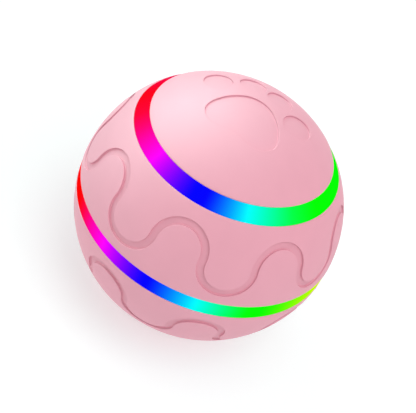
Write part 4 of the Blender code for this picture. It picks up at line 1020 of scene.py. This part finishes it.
def diffuser(name, stops):
    """A frosted ring lit from inside, its colour following the longitude."""
    made = Finish(name, DIFFUSER_COLOUR, DIFFUSER_ROUGHNESS, Specular_IOR_Level=0)
    place = made.node("ShaderNodeSeparateXYZ", {"Vector": made.place}).outputs
    front = made.node("ShaderNodeMath", {0: place["Y"], 1: -1}, operation="MULTIPLY").outputs["Value"]
    angle = made.node("ShaderNodeMath", {0: place["X"], 1: front}, operation="ARCTAN2").outputs["Value"]
    share = made.spread(angle, start=-math.pi, end=math.pi)
    colours = made.ramp(share, [((degrees + 180) / 360, colour) for degrees, colour in stops])
    shown = made.node("ShaderNodeGamma", {"Color": colours, "Gamma": DISPLAY_GAMMA}).outputs["Color"]
    made.give({"Emission Color": shown, "Emission Strength": 1})
    return made.material


RED, ORANGE, YELLOW, GREEN = (1, 0, 0), (1, 0.5, 0), (1, 1, 0), (0, 1, 0)
CYAN, BLUE, VIOLET, MAGENTA = (0, 1, 1), (0, 0, 1), (0.5, 0, 1), (1, 0, 1)
CRIMSON = (0.9, 0, 0.4)

# Colours round the rings, as (longitude in degrees, colour)
UPPER_COLOURS = (
    (-180, (0, 0.1, 1)), (-175, BLUE), (-158, VIOLET), (-143, MAGENTA), (-122, CRIMSON),
    (-108, (0.98, 0, 0.27)), (-90, (1, 0, 0.12)), (-72, (1, 0, 0.23)), (-60, (1, 0, 0.46)),
    (-38, MAGENTA), (-9, BLUE), (-4, BLUE), (20, CYAN), (46, (0, 1, 0.29)), (66, GREEN), (135, GREEN),
    (158, CYAN), (180, (0, 0.1, 1)),
)
MIDDLE_COLOURS = (
    (-180, (0, 0.5, 1)), (-170, CYAN), (-148, GREEN), (-124, YELLOW), (-104, ORANGE), (-84, RED),
    (-59, RED), (-50, (1, 0, 0.29)), (-42, (1, 0, 0.64)), (-32, MAGENTA), (-9, BLUE), (12, CYAN),
    (34, (0, 1, 0.06)), (38, GREEN), (58, (0.52, 1, 0)), (74, (0.83, 1, 0.05)), (84, YELLOW),
    (104, ORANGE), (124, RED), (146, MAGENTA), (168, BLUE), (180, (0, 0.5, 1)),
)
LOWER_TURN = 40


def turned_stops(stops, degrees):
    """The same colours turned round the ring, in order from -180 to 180 degrees."""
    moved = sorted(((angle + degrees + 180) % 360 - 180, colour) for angle, colour in stops[1:])
    first, last = moved[0], moved[-1]
    gap = first[0] + 360 - last[0]
    share = (180 - last[0]) / gap
    seam = tuple(a + (b - a) * share for a, b in zip(last[1], first[1]))
    return ((-180, seam), *moved, (180, seam))


def moulded(name, colour, roughness=0.42, **values):
    """Moulded plastic or rubber with a fine eroded texture."""
    made = Finish(name, colour, roughness, **values)
    made.tint(made.spread(made.noise(size=4 * MM)), colour, dark=0.94, light=1.06)
    grain = made.noise(size=0.18 * MM, detail=3)
    return made.textured(grain, low=roughness - 0.05, high=roughness + 0.07, depth=0.008 * MM)


def clear(name, colour):
    """Clear moulded plastic with faint flow lines."""
    made = Finish(name, colour, roughness=0.12, Transmission_Weight=0.9, IOR=1.58)
    flow = made.noise(size=6 * MM, squeeze=(1, 1, 0.3))
    made.tint(made.spread(flow), colour, dark=0.97)
    return made.textured(flow, low=0.08, high=0.18, depth=0.02 * MM)


def metal(name, colour, roughness, squeeze):
    """Turned or drawn metal, its tool marks fine one way and long the other."""
    made = Finish(name, colour, roughness, metallic=1, Anisotropic=0.4)
    marks = made.noise(size=0.5 * MM, detail=4, squeeze=squeeze)
    made.tint(made.spread(marks), colour, dark=0.86, light=1.06)
    return made.textured(marks, low=roughness - 0.08, high=roughness + 0.1, depth=0.006 * MM)


def zinc(name, colour):
    """Zinc plating: a fine crystal pattern with slightly different tones."""
    made = Finish(name, colour, roughness=0.32, metallic=1)
    crystals = made.node("ShaderNodeTexVoronoi", {"Vector": made.place, "Scale": 1 / (0.7 * MM)})
    tone = made.node("ShaderNodeSeparateColor", {"Color": crystals.outputs["Color"]}).outputs["Red"]
    made.tint(tone, colour, dark=0.9, light=1.05)
    made.give({"Roughness": made.spread(tone, low=0.26, high=0.4, start=0, end=1)})
    made.bump(made.noise(size=0.3 * MM, detail=3), depth=0.004 * MM)
    return made.material


def striped(name, colour, step, depth, roughness, metallic=0):
    """Fine ridges a step apart along the height: enamelled wire, or a lead's insulation, with painted shade
    in the grooves between them.
    """
    made = Finish(name, colour, roughness, metallic, Coat_Weight=0.3)
    ridges = made.bands("Z", step, distortion=0.4)
    # Painted shade: the colour darkens in the grooves between the ridges, where the relief is lowest
    made.tint(ridges, colour, dark=0.6, light=1.08)
    made.roughen(made.noise(size=0.3 * MM, detail=3), low=roughness - 0.05, high=roughness + 0.08)
    made.bump(ridges, depth)
    return made.material


def board(name, colour):
    """A circuit board under its solder mask: woven glass below, tracks as paler lines."""
    made = Finish(name, colour, roughness=0.3, Coat_Weight=0.35, Coat_Roughness=0.2)
    weave = made.bands("DIAGONAL", step=0.5 * MM)
    tracks = made.node("ShaderNodeTexBrick", {
        "Vector": made.place, "Scale": 1 / (3 * MM), "Mortar Size": 0.05, "Color1": opaque(colour),
        "Color2": shade(colour, 0.92), "Mortar": opaque(min(1, c * 1.5 + 0.02) for c in colour),
    })
    made.give({"Base Color": tracks.outputs["Color"]})
    return made.textured(weave, low=0.26, high=0.36, depth=0.006 * MM)


def lamp_package(name, colour):
    """A light-emitting diode: a pale package that glows softly through its lens."""
    made = Finish(name, colour, roughness=0.2, Coat_Weight=0.4)
    cloud = made.noise(size=0.6 * MM)
    made.tint(made.spread(cloud), colour, dark=0.9)
    made.roughen(cloud, low=0.15, high=0.3)
    made.give({"Emission Color": opaque(colour), "Emission Strength": LED_GLOW})
    return made.material


def shrink_wrap(name, colour):
    """Thin shrunk film, glossy, with fine creases along the cell."""
    made = Finish(name, colour, roughness=0.25, Coat_Weight=0.5, Coat_Roughness=0.1)
    creases = made.noise(size=1.2 * MM, detail=3, squeeze=(1, 1, 0.25))
    made.tint(made.spread(creases), colour, dark=0.85, light=1.1)
    return made.textured(creases, low=0.2, high=0.34, depth=0.02 * MM)


# The finish of each material slot, and the values that differ
LEAD = {"step": 0.6 * MM, "depth": 0.01 * MM, "roughness": 0.4}
WINDING = {"step": 0.25 * MM, "depth": 0.05 * MM, "roughness": 0.3, "metallic": 1}
FINISHES = {
    "clear_plastic": (clear, {}),
    "green_board": (board, {}),
    "white_board": (board, {}),
    "steel": (metal, {"roughness": 0.28, "squeeze": (1, 1, 8)}),
    "brass": (metal, {"roughness": 0.3, "squeeze": (6, 6, 1)}),
    "zinc_plate": (zinc, {}),
    "copper_winding": (striped, WINDING),
    "red_lead": (striped, LEAD),
    "black_lead": (striped, LEAD),
    "led_package": (lamp_package, {}),
    "cell_wrap": (shrink_wrap, {}),
    "black_rubber": (moulded, {"roughness": 0.68}),
    "white_nylon": (moulded, {"roughness": 0.36, "Subsurface_Weight": 0.1, "Subsurface_Scale": 0.5 * MM}),
    "pink_silicone": (silicone, {}),
}


def slot_finish(slot_name, colour):
    """The finish of the CAD nodes and small pieces in one material slot of the record."""
    make, values = FINISHES.get(slot_name, (moulded, {}))
    return make(f"{slot_name}_finish", colour, **values)


def add_softbox(name, azimuth, elevation, power, kind):
    """A round soft lamp that faces the ball, for diffuse light or for gloss."""
    lamp = bpy.data.lights.new(name, "AREA")
    lamp.shape = "DISK"
    lamp.size = LAMP_SIZE
    lamp.energy = power
    made = add_object(name, lamp)
    away = direction(math.radians(elevation), math.radians(azimuth))
    made.location = CENTRE + away * LAMP_DISTANCE
    made.rotation_euler = (-away).to_track_quat("-Z", "Y").to_euler()
    made.visible_camera = False
    made.visible_diffuse = kind == "diffuse"
    made.visible_glossy = kind == "gloss"


def add_camera():
    """The camera at the photograph's angle, with the ball where the photograph has it."""
    lens = bpy.data.cameras.new("camera")
    lens.lens = LENS
    lens.sensor_width = SENSOR_WIDTH
    lens.shift_x = (IMAGE_WIDTH / 2 - OUTLINE_CENTRE_X) / IMAGE_WIDTH
    lens.shift_y = (OUTLINE_CENTRE_Y - IMAGE_HEIGHT / 2) / IMAGE_WIDTH
    lens.clip_start = CLIP_START
    camera = add_object("camera", lens)
    away = direction(CAMERA_ELEVATION, 0)
    look = (-away).to_track_quat("-Z", "Y").to_matrix().to_4x4()
    place = Matrix.Translation(CENTRE + away * CAMERA_RADII_AWAY * BALL_RADIUS)
    camera.matrix_world = place @ look @ Matrix.Rotation(CAMERA_ROLL, 4, "Z")
    bpy.context.scene.camera = camera


def seen_directly(tree, hidden, shown):
    """A strength with one value for plain light, and another where the camera, gloss or glass sees it."""
    path = add_node(tree, "ShaderNodeLightPath", {}).outputs
    either = path["Is Camera Ray"]
    for kind in ("Is Glossy Ray", "Is Transmission Ray"):
        larger = add_node(tree, "ShaderNodeMath", {0: either, 1: path[kind]}, operation="MAXIMUM")
        either = larger.outputs["Value"]
    values = {"Value": either, "To Min": hidden, "To Max": shown}
    return add_node(tree, "ShaderNodeMapRange", values).outputs["Result"]


def add_floor():
    """A white floor that keeps the ball's shadow and is clear from below, where the hub is."""
    half = FLOOR_SIZE / 2
    corners = [(-half, -half, 0), (half, -half, 0), (half, half, 0), (-half, half, 0)]
    mesh = bpy.data.meshes.new("floor")
    mesh.from_pydata(corners, [], [(0, 1, 2, 3)])
    floor = add_object("floor", mesh)
    made = Finish("floor_white", FLOOR_COLOUR, FLOOR_ROUGHNESS, Specular_IOR_Level=0)
    mesh.materials.append(made.material)
    lift = made.spread(made.distance(), FLOOR_LIFT_NEAR, FLOOR_LIFT_FAR, FLOOR_NEAR, FLOOR_FAR)
    glow = seen_directly(made.tree, FLOOR_GLOW, lift)
    made.give({"Emission Color": opaque(WHITE), "Emission Strength": glow})
    below = made.node("ShaderNodeNewGeometry", {}).outputs["Backfacing"]
    nothing = made.node("ShaderNodeBsdfTransparent", {}).outputs["BSDF"]
    either = made.node("ShaderNodeMixShader", {0: below, 1: made.shader.outputs["BSDF"], 2: nothing})
    feed(made.tree, made.tree.nodes["Material Output"], {"Surface": either.outputs["Shader"]})


def add_world():
    """Even white surroundings, brighter where the camera sees them."""
    world = bpy.data.worlds.new("world")
    bpy.context.scene.world = world
    world.use_nodes = True
    tree = world.node_tree
    glow = seen_directly(tree, WORLD_LIGHT, 1)
    feed(tree, tree.nodes["Background"], {"Color": opaque(WHITE), "Strength": glow})


add_camera()
slot_colours = {row["slot"]: row["base_color"] for row in frame["record"]["materials"]}
finishes = {name: slot_finish(name, colour) for name, colour in slot_colours.items()}
slot_of = {row["node"]: row["material_slot"] for row in frame["record"]["subparts"]}

# The top cap and the bands get painted shade in their relief; the bottom cap, button and plug have none
relief_shaded = silicone("relief_shaded_silicone", PINK, shaded_relief=True)
plain_pink = silicone("plain_silicone", PINK)
for cover, shape, material, mirrored in (
    ("upper_cap", upper_cap(), relief_shaded, False),
    ("upper_band", band(), relief_shaded, False),
    ("lower_band", band(), relief_shaded, True),
    ("lower_cap", lower_cap(), plain_pink, False),
):
    piece(f"{cover}_skin", shape, material, "root", [f"{cover}_cover"], mirrored=mirrored)

for ring, latitude, stops in (
    ("upper", RING_LATITUDE, UPPER_COLOURS),
    ("middle", 0, MIDDLE_COLOURS),
    ("lower", -RING_LATITUDE, turned_stops(UPPER_COLOURS, LOWER_TURN)),
):
    glow = diffuser(f"{ring}_diffuser", stops)
    shape = light_ring(latitude)
    made = piece(f"{ring}_glow_ring", shape, glow, "root", [f"{ring}_light_ring"])
    made.visible_diffuse = False

button_place = HUB_FACE + BUTTON_CENTRE
for name, shape, body, slot, replaced, place in (
    ("hub_face_plate", hub_face(), "pod", "grey_plastic", ["hub_face"], HUB_FACE),
    ("hub_tube_sleeve", hub_sleeve(), "pod", "black_plastic", [], HUB_FACE),
    ("button_cap", power_button(), "power_button", "pink_silicone", ["power_button"], button_place),
    ("plug_flap", port_plug(), "port_plug", "pink_silicone", ["port_plug"], HUB_FACE),
    ("socket_shell", socket_shell(), "pod", "zinc_plate", ["charging_socket"], HUB_FACE),
    ("socket_tongue", socket_tongue(), "pod", "black_plastic", [], HUB_FACE),
    ("socket_contacts", socket_contacts(), "pod", "brass", [], HUB_FACE),
):
    material = plain_pink if slot == "pink_silicone" else finishes[slot]
    piece(name, shape, material, body, replaced, place)

for node_name, node in frame["nodes"].items():
    node.data.materials.clear()
    node.data.materials.append(finishes[slot_of[node_name]])

add_floor()
add_world()
for softbox in SOFTBOXES:
    add_softbox(*softbox)

bpy.context.scene.view_settings.view_transform = "Standard"
